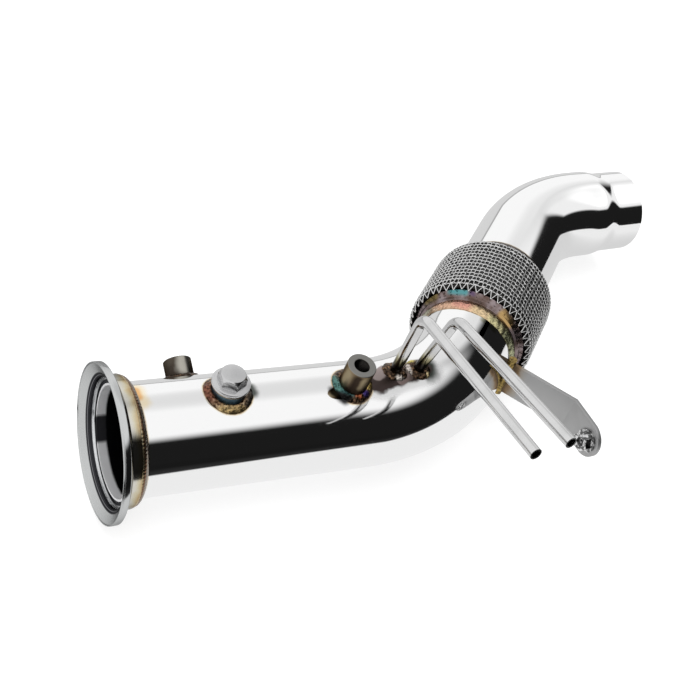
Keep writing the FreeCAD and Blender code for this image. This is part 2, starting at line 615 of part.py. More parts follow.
# Bracket: a flat strap on edge, bent once, with a round end and a flanged nut
strap_turn = math.radians(size("strap_turn"))
strap_line = Vector(math.sin(strap_turn), -math.cos(strap_turn), 0)
bend_centre = Vector(size("inlet_run"), size("elbow_radius"), 0)
strap_foot = bend_centre + strap_line * size("elbow_radius + pipe_od / 2")
strap_foot.z = size("strap_centre")
strap_place = Placement(strap_foot, Rotation(Vector(0, 0, 1), size("strap_heading")))
strap = doc.addObject("PartDesign::Body", "strap_blank")
strap_side = sketch_on(strap, "XY_Plane", "strap_side")
half = "strap_thickness / 2"
outline(strap_side, (
    ("-strap_root", half),
    (f"strap_reach + {half} * tan(strap_bend / 2)", half),
    (f"strap_reach + strap_end * cos(strap_bend) + {half} * sin(strap_bend)",
     f"-strap_end * sin(strap_bend) + {half} * cos(strap_bend)"),
    (f"strap_reach + strap_end * cos(strap_bend) - {half} * sin(strap_bend)",
     f"-strap_end * sin(strap_bend) - {half} * cos(strap_bend)"),
    (f"strap_reach - {half} * tan(strap_bend / 2)", f"-{half}"),
    ("-strap_root", f"-{half}"),
))
pad = strap.newObject("PartDesign::Pad", "strap_pad")
pad.Profile = strap_side
bind(pad, Length="strap_width")
pad.Midplane = True
doc.recompute()
tip = Vector(size("strap_reach + strap_end * cos(strap_bend)"),
             -size("strap_end * sin(strap_bend)"), 0)
round_end = strap.newObject("PartDesign::Fillet", "strap_round_end")
corners = [f"Edge{number}" for number, edge in enumerate(pad.Shape.Edges, start=1)
           if abs(edge.Length - size("strap_thickness")) < 0.01
           and (Vector(edge.CenterOfMass.x, edge.CenterOfMass.y, 0) - tip).Length < 0.01]
round_end.Base = (pad, corners)
bind(round_end, Radius="strap_width / 2 - 0.1")
strap.Placement = strap_place

leg_turn = Rotation(Vector(0, 0, 1), -size("strap_bend"))
hole_spot = Vector(size("strap_reach"), 0, 0)
hole_spot += leg_turn.multVec(Vector(size("strap_end - strap_hole_back"), -size(half), 0))
nut_seat = strap_place.multiply(Placement(hole_spot, leg_turn)).multiply(
    Placement(Vector(), Rotation(Vector(1, 0, 0), 90)))
strap_hole = primitive("Cylinder", "strap_hole",
                       nut_seat.multiply(Placement(Vector(0, 0, -size("2 * strap_thickness")),
                                                   Rotation())),
                       Radius="strap_hole_od / 2", Height="3 * strap_thickness")
keep("bracket_strap", cut("bracket_strap", strap, pipe_core, strap_hole))

nut_disc = primitive("Cylinder", "nut_disc", nut_seat,
                     Radius="nut_flange_od / 2", Height="nut_flange_height")
nut_hexagon = primitive("Prism", "nut_hexagon", nut_seat,
                        Circumradius="nut_flats / 2 / cos(30)", Height="nut_height")
nut_thread = primitive("Cylinder", "nut_thread", nut_seat,
                       Radius="nut_thread_od / 2", Height="nut_height")
keep("bracket_nut", cut("bracket_nut", fuse("nut_blank", nut_disc, nut_hexagon), nut_thread))

# Weld at the strap's root: a rounded bar of weld along both sides and round the ends
root_spot = Placement(Vector(0, 0, -size("strap_width / 2 + strap_weld")), Rotation())
weld_bar = primitive("Cylinder", "strap_weld_bar", strap_place.multiply(root_spot),
                     Radius="strap_weld", Height="strap_width + 2 * strap_weld")
keep("bracket_weld", cut("bracket_weld", weld_bar, pipe_core, strap))

doc.recompute()

for obj in doc.Objects:
    if "Invalid" in obj.State or "Error" in obj.State:
        raise RuntimeError(f"{obj.Label} did not build: {obj.State}")
os.makedirs("parts", exist_ok=True)
for piece in pieces:
    if piece.Shape.isNull() or not piece.Shape.isValid():
        raise RuntimeError(f"{piece.Label} is not a valid solid")
    piece.Shape.exportStep(f"parts/{piece.Label}.step")
    print(f"{piece.Label}: {len(piece.Shape.Solids)} solid, {piece.Shape.Volume:.0f} mm3")
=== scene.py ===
import bmesh
import bpy
import math

from mathutils import Matrix, Vector, noise


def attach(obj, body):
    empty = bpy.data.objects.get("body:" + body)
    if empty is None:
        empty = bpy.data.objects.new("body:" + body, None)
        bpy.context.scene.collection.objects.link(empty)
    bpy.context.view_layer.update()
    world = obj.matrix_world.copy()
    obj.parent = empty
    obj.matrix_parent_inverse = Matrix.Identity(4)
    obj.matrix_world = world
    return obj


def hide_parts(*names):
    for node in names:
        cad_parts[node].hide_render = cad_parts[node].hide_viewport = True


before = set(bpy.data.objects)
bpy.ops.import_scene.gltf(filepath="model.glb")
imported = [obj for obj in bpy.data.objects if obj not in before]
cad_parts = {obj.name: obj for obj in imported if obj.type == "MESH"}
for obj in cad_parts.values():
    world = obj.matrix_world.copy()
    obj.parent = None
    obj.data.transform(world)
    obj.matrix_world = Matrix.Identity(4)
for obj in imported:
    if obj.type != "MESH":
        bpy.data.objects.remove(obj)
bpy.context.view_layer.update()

# Studio: a white table with a straight front edge, under a white ceiling. The room in front of
# the table is dark, and the polished pipe shows it as the long dark band down its side. The
# camera sees only white round the object, with the object's soft shadow on the table.

MM = 0.001
FLOOR_HEIGHT = -52.6
FLOOR_HALF = 1.3


def mm(*sizes):
    """A point or a length in metres, from millimetres."""
    return Vector(sizes) * MM


class Value:
    """A number, colour or vector in a material, on which sums can be written."""

    def __init__(self, finish, socket):
        self.finish = finish
        self.socket = socket

    def math(self, operation, *others):
        values = dict(enumerate((self, *others)))
        return self.finish.node("Math", values, operation=operation)

    def __add__(self, other):
        return self.math("ADD", other)

    def __sub__(self, other):
        return self.math("SUBTRACT", other)

    def __mul__(self, other):
        return self.math("MULTIPLY", other)

    def __truediv__(self, other):
        return self.math("DIVIDE", other)

    def __rsub__(self, other):
        return self * -1 + other

    __radd__ = __add__
    __rmul__ = __mul__

    def between(self, low, high):
        """0 below low, 1 above high, and a soft step between them."""
        values = {"Value": self, "From Min": low, "From Max": high}
        return self.finish.node("MapRange", values, interpolation_type="SMOOTHSTEP")

    def colours(self, *stops):
        """Colours along 0 to 1, each stop a position and a colour."""
        return self.finish.node("ValToRGB", {"Fac": self}, stops=stops)


class Finish:
    """A node material for one kind of surface, read in object coordinates."""

    def __init__(self, name, owner=None):
        self.owner = owner or bpy.data.materials.new(name)
        self.owner.use_nodes = True
        self.tree = self.owner.node_tree
        self.tree.nodes.clear()

    def node(self, kind, values=None, output=0, stops=None, **settings):
        """Adds a node: its settings first, then the values or links of its sockets."""
        node = self.tree.nodes.new(f"ShaderNode{kind}")
        for name, setting in settings.items():
            setattr(node, name, setting)
        if stops:
            ramp = node.color_ramp.elements
            while len(ramp) < len(stops):
                ramp.new(0.5)
            for element, (position, colour) in zip(ramp, stops):
                element.position = position
                element.color = (*colour, 1)
        for socket, value in (values or {}).items():
            if isinstance(value, Value):
                self.tree.links.new(value.socket, node.inputs[socket])
            else:
                node.inputs[socket].default_value = value
        return Value(self, node.outputs[output])

    def place(self):
        """Where a point of the piece is, in metres."""
        return self.node("TexCoord", output="Object")

    def apart(self, vector):
        """The three numbers of a vector."""
        split = self.node("SeparateXYZ", {"Vector": vector})
        return [Value(self, socket) for socket in split.socket.node.outputs]

    def grain(self, scale, detail=2, stretch=(1, 1, 1)):
        """Cloudy noise from 0 to 1, with a grain of 1/scale metres."""
        where = self.node("Mapping", {"Vector": self.place(), "Scale": stretch})
        return self.node("TexNoise", {"Vector": where, "Scale": scale, "Detail": detail})

    def from_axis(self, start, axis):
        """Distance along an axis from its start, and distance from the axis."""
        local = self.node("VectorMath", {0: self.place(), 1: start}, operation="SUBTRACT")
        along = self.node("VectorMath", {0: local, 1: axis}, output="Value",
                          operation="DOT_PRODUCT")
        across = self.node("VectorMath", {0: local, 1: axis}, operation="CROSS_PRODUCT")
        off = self.node("VectorMath", {0: across}, output="Value", operation="LENGTH")
        return along, off

    def from_line(self, start, end):
        """Distance from the straight line between two points."""
        axis = (end - start).normalized()
        local = self.node("VectorMath", {0: self.place(), 1: start}, operation="SUBTRACT")
        along = self.node("VectorMath", {0: local, 1: axis}, output="Value",
                          operation="DOT_PRODUCT")
        kept = along.math("MINIMUM", (end - start).length).math("MAXIMUM", 0.0)
        near = self.node("VectorMath", {0: axis, "Scale": kept}, operation="SCALE")
        gap = self.node("VectorMath", {0: local, 1: near}, operation="SUBTRACT")
        return self.node("VectorMath", {0: gap}, output="Value", operation="LENGTH")

    def tinted(self, colour, tints, core=0.3):
        """A colour with tints over it: heat tints, and the painted shade, painted reflection and
        painted highlight that some callers' tables hold. Each is a line's start and end, a reach
        and a colour, all in millimetres. A tint is full over its core and fades out at its reach."""
        ragged = self.grain(130, 2) * 0.7 + 0.65
        for start, end, reach, tint in tints:
            gap = self.from_line(mm(*start), mm(*end)) * ragged
            share = 1 - gap.between(reach * core * MM, reach * MM)
            colour = self.blend(share, colour, (*tint, 1))
        return colour

    def blend(self, share, first, second, how="MIX"):
        """One colour over another by a share from 0 to 1."""
        return self.node("Mix", {0: share, 6: first, 7: second}, output=2, data_type="RGBA",
                         blend_type=how)

    def relief(self, height, depth, strength):
        """A bumped surface, with the depth in metres."""
        return self.node("Bump", {"Height": height, "Distance": depth, "Strength": strength},
                         output="Normal")

    def surface(self, **values):
        """Ends the material in a shader, with its sockets as named values."""
        named = {name.replace("_", " ").title(): value for name, value in values.items()}
        self.ends_in("Material", self.node("BsdfPrincipled", named))

    def ends_in(self, kind, skin):
        """Links a shader to the output of a material, a world or a lamp."""
        end = self.tree.nodes.new(f"ShaderNodeOutput{kind}")
        self.tree.links.new(skin.socket, end.inputs["Surface"])


bpy.context.scene.view_settings.view_transform = "Standard"

camera = bpy.data.objects.new("camera", bpy.data.cameras.new("camera"))
camera.data.lens = 63.77
camera.data.sensor_width = 36
camera.data.clip_start = 0.01
camera.data.clip_end = 30
camera.matrix_world = Matrix((
    (0.88826, 0.08102, -0.45213, -0.20917),
    (-0.36987, 0.70982, -0.59945, -0.48778),
    (0.27237, 0.69970, 0.66048, 0.60418),
    (0, 0, 0, 1)))
bpy.context.scene.collection.objects.link(camera)
bpy.context.scene.camera = camera

# Directions in the room: headings in degrees from the X axis, and heights from -1 to 1.
FRONT_STARTS = (-102, -84)
FRONT_ENDS = (26, 44)
BACK_ENDS = (120, 140)
CEILING_EDGE = (0.58, 0.77)
TABLE_LINE = (-0.025, 0.0)
CEILING_GAP = (0.448, 0.497, 0.743)
ROOM_WHITE = 0.99
FRONT_DROP, LINE_DROP, GAP_DROP = 0.979, 0.6, 0.22
world = bpy.data.worlds.new("studio")
bpy.context.scene.world = world
room = Finish("studio", world)
toward = room.node("TexCoord", output="Generated")
east, north, height = room.apart(toward)
heading = north.math("ARCTAN2", east) * (180 / math.pi)
front = heading.between(*FRONT_STARTS) * (1 - heading.between(*FRONT_ENDS))
back = heading.between(*FRONT_ENDS) * (1 - heading.between(*BACK_ENDS))
dark_front = front * (1 - height.between(*CEILING_EDGE))
dark_line = back * (1 - height.between(*TABLE_LINE))
ceiling_gap = room.node("VectorMath", {0: toward, 1: CEILING_GAP}, output="Value",
                        operation="DOT_PRODUCT").between(0.90, 1.0)
seen = room.node("LightPath", output="Is Camera Ray")
walls = ROOM_WHITE - dark_front * FRONT_DROP - dark_line * LINE_DROP - ceiling_gap * GAP_DROP
level = seen + (1 - seen) * walls
room.ends_in("World", room.node("Background", {"Color": (1, 1, 1, 1), "Strength": level}))

bm = bmesh.new()
bmesh.ops.create_grid(bm, x_segments=1, y_segments=1, size=FLOOR_HALF)
bmesh.ops.translate(bm, vec=mm(300, 60, FLOOR_HEIGHT), verts=bm.verts)
floor_mesh = bpy.data.meshes.new("floor")
bm.to_mesh(floor_mesh)
bm.free()
floor = bpy.data.objects.new("floor", floor_mesh)
bpy.context.scene.collection.objects.link(floor)

# The table as the pipe shows it: pale from its front edge on, and brighter near the camera. A
# painted shadow, which the pipe reflects, darkens it from y = 60 mm back to y = 180 mm.
TABLE_EDGE = mm(80, -160, 0)
TABLE_INWARD = Vector((0.277, 0.961, 0))
TABLE_MIDDLE = mm(0, 60, 0)
TABLE_STARTS = (-0.012, 0.006)
TABLE_WHITE, TABLE_SHADOW_DROP = 0.86, 0.2
TABLE_SHADOW_SPAN = (0, 0.12)
EDGE_STARTS = (-0.16, -0.01)
EDGE_GLOW, ROOM_GLOW = 0.016, 0.010
table = Finish("white table")
inward, _ = table.from_axis(TABLE_EDGE, TABLE_INWARD)
farther, _ = table.from_axis(TABLE_MIDDLE, Vector((0, 1, 0)))
# Painted shadow: the table's brightness in reflections drops by 0.2 from y = 60 to 180 mm.
table_white = TABLE_WHITE - TABLE_SHADOW_DROP * farther.between(*TABLE_SHADOW_SPAN)
on_table = inward.between(*TABLE_STARTS) * table_white
near_edge = inward.between(*EDGE_STARTS)
seen = table.node("LightPath", output="Is Camera Ray")
mirrored = table.node("LightPath", output="Is Glossy Ray")
matt = table.node("BsdfDiffuse", {"Color": (0.8, 0.8, 0.8, 1)})
glow = table.node("Emission", {"Color": (1, 1, 1, 1), "Strength": 0.70})
half_matt = table.node("BsdfDiffuse", {"Color": (0.4, 0.4, 0.4, 1)})
lit = table.node("AddShader", {0: glow, 1: half_matt})
shown = table.node("Emission", {"Color": (1, 1, 1, 1),
                                "Strength": on_table + near_edge * EDGE_GLOW + ROOM_GLOW})
direct = table.node("MixShader", {0: seen, 1: matt, 2: lit})
table.ends_in("Material", table.node("MixShader", {0: mirrored, 1: direct, 2: shown}))
floor_mesh.materials.append(table.owner)

for name, place, target, side, power in (
        ("ceiling lamp", (150, -100, 1100), (250, 40, 0), 1.1, 9),
        ("back lamp", (500, 900, 800), (280, 60, 0), 0.9, 4)):
    lamp = bpy.data.objects.new(name, bpy.data.lights.new(name, "AREA"))
    lamp.data.shape = "SQUARE"
    lamp.data.size = side
    lamp.data.energy = power
    lamp.location = mm(*place)
    lamp.visible_glossy = False
    lamp.rotation_euler = (mm(*target) - mm(*place)).to_track_quat("-Z", "Y").to_euler()
    bpy.context.scene.collection.objects.link(lamp)

# Main pipe: polished stainless tube, 76 mm across with a 1.5 mm wall, mandrel bent in one piece.
# It is drilled under the three sensor bosses and the two pressure tubes, and the welds round them
# leave narrow bands of heat colour on its polish.

INLET = Vector((0, 0, 0))
AHEAD = Vector((1, 0, 0))
PIPE_RADIUS = 38
PIPE_WALL = 1.5
PIPE_START = 9
PIPE_SIDES = 160
NECK_END = 15
NECK_BEAD = 5.1
ELBOW_START = 187.5
ELBOW_TURN = 45
AFTER_ELBOW = 15.5
ELBOW_CENTRE = Vector((187.5, 142, 0))
FLEX_AHEAD = Vector((math.sqrt(0.5), math.sqrt(0.5), 0))
FRONT_BUTT = Vector((298.869, 52.551, 0))
REAR_BUTT = Vector((364.630, 118.312, 0))


def ring(bm, place, radius, segments):
    """A circle of edges across the X axis of a place, in millimetres."""
    turn = Matrix.Rotation(math.pi / 2, 4, "Y")
    made = bmesh.ops.create_circle(bm, radius=radius, segments=segments, matrix=place @ turn)
    return [edge for edge in bm.edges if all(vert in made["verts"] for vert in edge.verts)]


def run_on(bm, edges, step, steps):
    """Draws a ring of edges straight on, in a number of steps."""
    for _ in range(steps):
        made = bmesh.ops.extrude_edge_only(bm, edges=edges)["geom"]
        verts = [item for item in made if isinstance(item, bmesh.types.BMVert)]
        edges = [item for item in made if isinstance(item, bmesh.types.BMEdge)]
        bmesh.ops.translate(bm, vec=step / steps, verts=verts)
    return [edge for edge in edges if edge.is_boundary]


def bend_on(bm, edges, centre, axis, degrees, steps):
    """Draws a ring of edges round a bend."""
    made = bmesh.ops.spin(bm, geom=edges, cent=centre, axis=axis, steps=steps,
                          angle=math.radians(degrees))["geom_last"]
    return [item for item in made if isinstance(item, bmesh.types.BMEdge)]


def walled(bm, wall):
    """Gives an open skin its wall on the inside."""
    bmesh.ops.recalc_face_normals(bm, faces=bm.faces)
    bmesh.ops.solidify(bm, geom=bm.faces, thickness=wall)


def facing(start, ahead, up=Vector((0, 0, 1))):
    """A place at a point, whose X axis points ahead."""
    ahead = ahead.normalized()
    side = up.cross(ahead).normalized()
    up = ahead.cross(side)
    place = Matrix((ahead, side, up)).transposed().to_4x4()
    place.translation = start
    return place


def drilled(obj, cutters):
    """Takes round holes out of a piece, each a start, an axis, a radius and a length."""
    bm = bmesh.new()
    for start, axis, radius, length in cutters:
        place = facing(start + axis * length / 2, axis, AHEAD)
        place = place @ Matrix.Rotation(math.pi / 2, 4, "Y")
        place.translation *= MM
        bmesh.ops.create_cone(bm, cap_ends=True, segments=48, radius1=radius * MM,
                              radius2=radius * MM, depth=length * MM, matrix=place)
    cutter_mesh = bpy.data.meshes.new("cutter")
    bm.to_mesh(cutter_mesh)
    bm.free()
    cutter = bpy.data.objects.new("cutter", cutter_mesh)
    bpy.context.scene.collection.objects.link(cutter)
    cut = obj.modifiers.new("holes", "BOOLEAN")
    cut.object = cutter
    cut.operation = "DIFFERENCE"
    cut.solver = "EXACT"
    bpy.context.view_layer.update()
    mesh = bpy.data.meshes.new_from_object(obj.evaluated_get(
        bpy.context.evaluated_depsgraph_get()))
    obj.modifiers.clear()
    obj.data = mesh
    bpy.data.objects.remove(cutter)


def finished(name, bm, finish, nodes, crease=30):
    """Turns a mesh in millimetres into a named piece that stands for its CAD nodes."""
    bmesh.ops.scale(bm, vec=(MM, MM, MM), verts=bm.verts)
    mesh = bpy.data.meshes.new(name)
    bm.to_mesh(mesh)
    bm.free()
    mesh.shade_smooth()
    mesh.set_sharp_from_angle(angle=math.radians(crease))
    mesh.materials.append(finish.owner)
    obj = bpy.data.objects.new(name, mesh)
    bpy.context.scene.collection.objects.link(obj)
    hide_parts(*nodes)
    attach(obj, "root")
    return obj


HEAT_COLOURS = (
    (0.00, (0.10, 0.08, 0.07)),
    (0.22, (0.26, 0.19, 0.14)),
    (0.42, (0.62, 0.49, 0.32)),
    (0.70, (0.86, 0.81, 0.70)),
    (1.00, (0.94, 0.94, 0.94)),
)
BOSSES = {
    "plug": (Vector((79.4, 0, 0)), Vector((0, -0.00873, 0.99996))),
    "probe": (Vector((167.5, 0, 0)), Vector((0, -0.12187, 0.99255))),
    "rear": (Vector((62.5, 0, 0)), Vector((0, 0.92718, 0.37461))),
}
TUBE_RADIUS = 4
TUBE_WALL = 1
TUBES = {
    "front": (Vector((203.7, 3, 38)), Vector((204.2, -2, 94)),
              Vector((211.890, -135.375, 110.404))),
    "rear": (Vector((222, 2.5, 38)), Vector((229.6, -4.5, 92.2)),
             Vector((241.447, -129.826, 108.997))),
}


def heated(finish, gaps):
    """Steel with heat colour: gaps are pairs of a distance from a weld and the band's width."""
    cloud = finish.grain(260, 3) * 0.7 - 0.35
    colour = None
    for gap, width in gaps:
        reach = (gap / width + cloud * (1 - gap / width * 0.5)).between(0, 1)
        tint = reach.colours(*HEAT_COLOURS)
        colour = tint if colour is None else finish.blend(1.0, colour, tint, "DARKEN")
    return colour


# Heat tints round the welds on the pipe. The dark green-grey patch beside the rear tube's foot is
# painted shade.
PIPE_HEAT_AND_SHADE_TINTS = (
    ((22, 12, 36), (22, -2, 38), 7, (0.94, 0.82, 0.60)),
    ((20.5, 10, 36), (20.5, 3, 38), 4.5, (0.85, 0.50, 0.22)),
    ((95, 2, 38), (95, -3, 38), 6, (0.12, 0.13, 0.12)),
    ((152, -9, 37), (158, -15, 35), 6, (0.03, 0.03, 0.03)),
    ((229, -1, 37), (231, 5, 37), 10, (0.05, 0.06, 0.05)),
    ((298, 44, 38), (304, 36, 35), 4, (0.60, 0.60, 0.46)),
)
# Heat colour round the tube feet, with light mauve patches. The dark line along the elbow under
# the tubes is painted shade.
TUBE_ZONE_HEAT_AND_SHADE = (
    ((185, -5, 37), (224, 3, 38), 10, (0.065, 0.048, 0.045)),
    ((188, 0, 38), (197, 6, 38), 5, (0.34, 0.28, 0.27)),
    ((205, -6, 38), (212, -3, 38), 4, (0.26, 0.20, 0.19)),
)
polish = Finish("polished stainless tube")
x_along, _ = polish.from_axis(INLET, AHEAD)
bands = [(x_along - (NECK_END + NECK_BEAD - 0.3) * MM, 1.8 * MM)]
for key, weld_radius, band in (("plug", 16.3, 2.2), ("probe", 14.3, 2.4), ("rear", 12.8, 2)):
    start, axis = BOSSES[key]
    along, off = polish.from_axis(start * MM, axis)
    far_side = 1 - along.between(0, 0.01)
    bands.append((off - (weld_radius - 0.6) * MM + far_side * 0.05, band * MM))
BUTT_BAND = (4.1 * MM, 1.6 * MM)
before_flex, _ = polish.from_axis(FRONT_BUTT * MM, -FLEX_AHEAD)
bands.append((before_flex - BUTT_BAND[0], BUTT_BAND[1]))
tube_heat = 1 - polish.from_line(mm(186, -7, 37), mm(230, 1, 37)).between(0.008, 0.015)
polish.surface(
    base_color=polish.tinted(polish.tinted(heated(polish, bands), PIPE_HEAT_AND_SHADE_TINTS, core=0.25),
                             TUBE_ZONE_HEAT_AND_SHADE, core=0.7),
    metallic=1.0,
    roughness=0.045 + 0.03 * polish.grain(45, 3) + tube_heat * 0.3,
    normal=polish.relief(polish.grain(14, 1), 0.0004, 0.15))
inner_wall = Finish("drawn inner wall")
inside_x, _ = inner_wall.from_axis(INLET, AHEAD)
slant, _ = inner_wall.from_axis(INLET, Vector((0, 0.71, 0.70)))
# Painted shade: the inner wall is near-black from about 16 mm into the bore, where it lies in
# shade. The shade block near the mouth is painted shade too.
painted_depth_shade = (inside_x * 1000 + inner_wall.grain(60, 3) * 2).between(15.2, 17.2)
shade_block = slant.between(-0.004, -0.001) * (1 - slant.between(0.014, 0.017))
bright_wall = inner_wall.blend(shade_block, (0.95, 0.95, 0.96, 1), (0.05, 0.05, 0.055, 1))
inner_wall.surface(
    base_color=inner_wall.blend(painted_depth_shade, bright_wall, (0.012, 0.012, 0.013, 1)),
    metallic=1.0,
    roughness=0.72 - 0.4 * painted_depth_shade + 0.1 * inner_wall.grain(90, 3),
    specular_tint=(0.4, 0.4, 0.4, 1))

bm = bmesh.new()
edge = ring(bm, facing(AHEAD * PIPE_START, AHEAD), PIPE_RADIUS, PIPE_SIDES)
edge = run_on(bm, edge, AHEAD * (ELBOW_START - PIPE_START), steps=44)
edge = bend_on(bm, edge, ELBOW_CENTRE, (0, 0, 1), ELBOW_TURN, steps=48)
run_on(bm, edge, FLEX_AHEAD * AFTER_ELBOW, steps=4)
walled(bm, PIPE_WALL)
main_pipe = finished("main_pipe_tube", bm, polish, ["main_pipe"])

HOLE_LENGTH = 15
HOLE_START = 30
HOLE_RADII = {"plug": 8.9, "probe": 6, "rear": 6}
TUBE_HOLE_DEPTH = 9
holes = [(start + axis * HOLE_START, axis, HOLE_RADII[key], HOLE_LENGTH)
         for key, (start, axis) in BOSSES.items()]
for foot, corner, _ in TUBES.values():
    leg = (corner - foot).normalized()
    holes.append((foot - leg * TUBE_HOLE_DEPTH, leg, TUBE_RADIUS - TUBE_WALL, HOLE_LENGTH))
drilled(main_pipe, holes)
main_pipe.data.materials.append(inner_wall.owner)
for face in main_pipe.data.polygons:
    off_axis = math.hypot(face.center.y, face.center.z) / MM
    if face.center.x < ELBOW_START * MM and off_axis < PIPE_RADIUS - PIPE_WALL / 2:
        face.material_index = 1

# Inlet flange: turned stainless ring for a V-band clamp, with a thin rim, a conical sealing seat
# and a short neck. The pipe is pushed into the neck's socket and welded round behind it.

FLANGE_OUTLINE = (
    (0, 52.6), (4.9, 52.6), (8.6, 45), (8.6, 43.7), (NECK_END, 43.7), (NECK_END, PIPE_RADIUS),
    (PIPE_START, PIPE_RADIUS), (PIPE_START, 42.5), (5.4, 42.5), (0.9, 51.7), (0, 51.7))
CONE_INSIDE = 42.4
CONE_WIDTH = 9.4
CONE_SLOPE = 2.044
SOCKET_MOUTH = 5.4


def turned(outline, place, steps, ease=0.0):
    """A turned shape: an outline of (station, radius) spun about X, with eased corners."""
    bm = bmesh.new()
    points = [bm.verts.new((station, radius, 0)) for station, radius in outline]
    line = [bm.edges.new(pair) for pair in zip(points, points[1:] + points[:1])]
    bmesh.ops.spin(bm, geom=points + line, cent=(0, 0, 0), axis=(1, 0, 0), angle=math.tau,
                   steps=steps, use_merge=True)
    bmesh.ops.remove_doubles(bm, verts=bm.verts, dist=0.0005)
    bmesh.ops.recalc_face_normals(bm, faces=bm.faces)
    if ease:
        eased(bm, ease)
    bmesh.ops.transform(bm, matrix=place, verts=bm.verts)
    return bm


def eased(bm, width):
    """Rounds every edge that turns by more than 25 degrees."""
    sharp = [edge for edge in bm.edges
             if edge.is_manifold and edge.calc_face_angle() > math.radians(25)]
    bmesh.ops.bevel(bm, geom=sharp, offset=width, offset_type="OFFSET", segments=2,
                    profile=0.5, affect="EDGES", material=-1, clamp_overlap=True)


flange_steel = Finish("turned flange steel")
x_along, off = flange_steel.from_axis(INLET, AHEAD)
rings = flange_steel.node("TexNoise", {
    "Vector": flange_steel.node("CombineXYZ", {0: off, 1: x_along}), "Scale": 2600, "Detail": 2})
# Where each turned surface starts and ends, in metres along the axis and off it.
outside = off.between(0.0430, 0.0434)
face = 1 - x_along.between(0.0001, 0.0003)
neck = x_along.between(0.0088, 0.0092) * outside
on_cone = 1 - (off + x_along * CONE_SLOPE).between(0.0555, 0.0565)
in_socket = x_along.between(0.0052, 0.0055) * (1 - off.between(0.0427, 0.0430))
worn = flange_steel.grain(90, 3)
neck_heat = (NECK_END - x_along * 1000 + flange_steel.grain(140, 3) * 6 - 3).between(-3, 6)
neck_steel = neck_heat.colours((0.0, (0.34, 0.20, 0.11)), (0.3, (0.55, 0.42, 0.24)),
                               (0.7, (0.66, 0.60, 0.44)), (1.0, (0.70, 0.68, 0.62)))
# Painted reflection: dark rings with a thin light ring across the sealing cone, in its base
# colour.
cone_painted_reflection = ((off * 1000 - CONE_INSIDE) / CONE_WIDTH + rings * 0.06 - 0.03).colours(
    (0.00, (0.03, 0.03, 0.035)), (0.10, (0.03, 0.03, 0.035)), (0.14, (0.30, 0.30, 0.31)),
    (0.18, (0.03, 0.03, 0.035)), (0.29, (0.05, 0.05, 0.055)), (0.34, (0.60, 0.61, 0.61)))
# Painted shade: the socket wall is near-black from its mouth to halfway in, then light, and the
# step at its bottom is near-black.
socket_depth = (x_along * 1000 - SOCKET_MOUTH) / (PIPE_START - SOCKET_MOUTH)
socket_depth_painted_shade = (socket_depth + rings * 0.2 - 0.1).colours(
    (0.00, (0.05, 0.05, 0.055)), (0.54, (0.04, 0.04, 0.045)), (0.62, (0.80, 0.81, 0.82)))
step_share = x_along.between(0.0087, 0.0089) * (1 - off.between(0.0404, 0.0410))
socket_painted_shade = flange_steel.blend(step_share, socket_depth_painted_shade, (0.04, 0.04, 0.045, 1))
rim_steel = flange_steel.blend(face, (0.60, 0.61, 0.61, 1), (0.62, 0.63, 0.63, 1))
cone_share = x_along.between(0.0003, 0.0006) * on_cone
turned_steel = flange_steel.blend(cone_share, flange_steel.blend(neck, rim_steel, neck_steel),
                                  cone_painted_reflection)
flange_steel.surface(
    base_color=flange_steel.blend(in_socket, turned_steel, socket_painted_shade),
    metallic=1.0,
    roughness=0.07 + 0.06 * worn + 0.17 * face.math("MAXIMUM", cone_share) + 0.06 * in_socket,
    specular_tint=(0.45, 0.45, 0.45, 1),
    normal=flange_steel.relief(rings, 0.00003, 0.5))
bm = turned(FLANGE_OUTLINE, Matrix(), steps=224, ease=0.35)
finished("clamp_flange_ring", bm, flange_steel, ["inlet_flange"], crease=40)

# Neck weld: a convex TIG bead that fills the corner between the flange's neck and the pipe. Its
# ripples run round the pipe, and heat has coloured it in bands of straw, brown and grey.


def rippled(bm, place, count, height, sweep):
    """Raises a bead's crest in overlapping ripples round the X axis of its place."""
    inverse = place.inverted()
    for vert in bm.verts:
        local = inverse @ vert.co
        turn = math.atan2(local.z, local.y)
        wave = (turn * count / math.tau + local.x * sweep + 0.15 * noise.noise(vert.co * 0.4)) % 1
        lift = height * (1 - (2 * wave - 1) ** 2) + 0.4 * height * noise.noise(vert.co * 0.7)
        vert.co += vert.normal * lift


WELD_COLOURS = (
    (0.00, (0.015, 0.012, 0.010)), (0.38, (0.07, 0.045, 0.03)), (0.50, (0.20, 0.12, 0.07)),
    (0.60, (0.34, 0.25, 0.16)), (0.74, (0.50, 0.44, 0.34)), (1.00, (0.66, 0.63, 0.57)))


def weld_finish(name, tints, warm, over=0.85):
    """Weld metal: scaled and browned, and tinted by heat near the given lines."""
    finish = Finish(name)
    fine = finish.grain(620, 3)
    base = (finish.grain(230, 3) * 0.6 + fine * 0.5 + (warm - 0.05)).colours(*WELD_COLOURS)
    scale = (fine * 2.6 - 0.8).colours((0.0, (0.12, 0.12, 0.12)), (1.0, (1.7, 1.7, 1.7)))
    tinted = finish.blend(over, finish.tinted(base, tints), scale, "MULTIPLY")
    finish.surface(
        base_color=tinted,
        metallic=1.0,
        roughness=0.20 + 0.22 * fine,
        normal=finish.relief(fine, 0.0006, 0.7))
    return finish


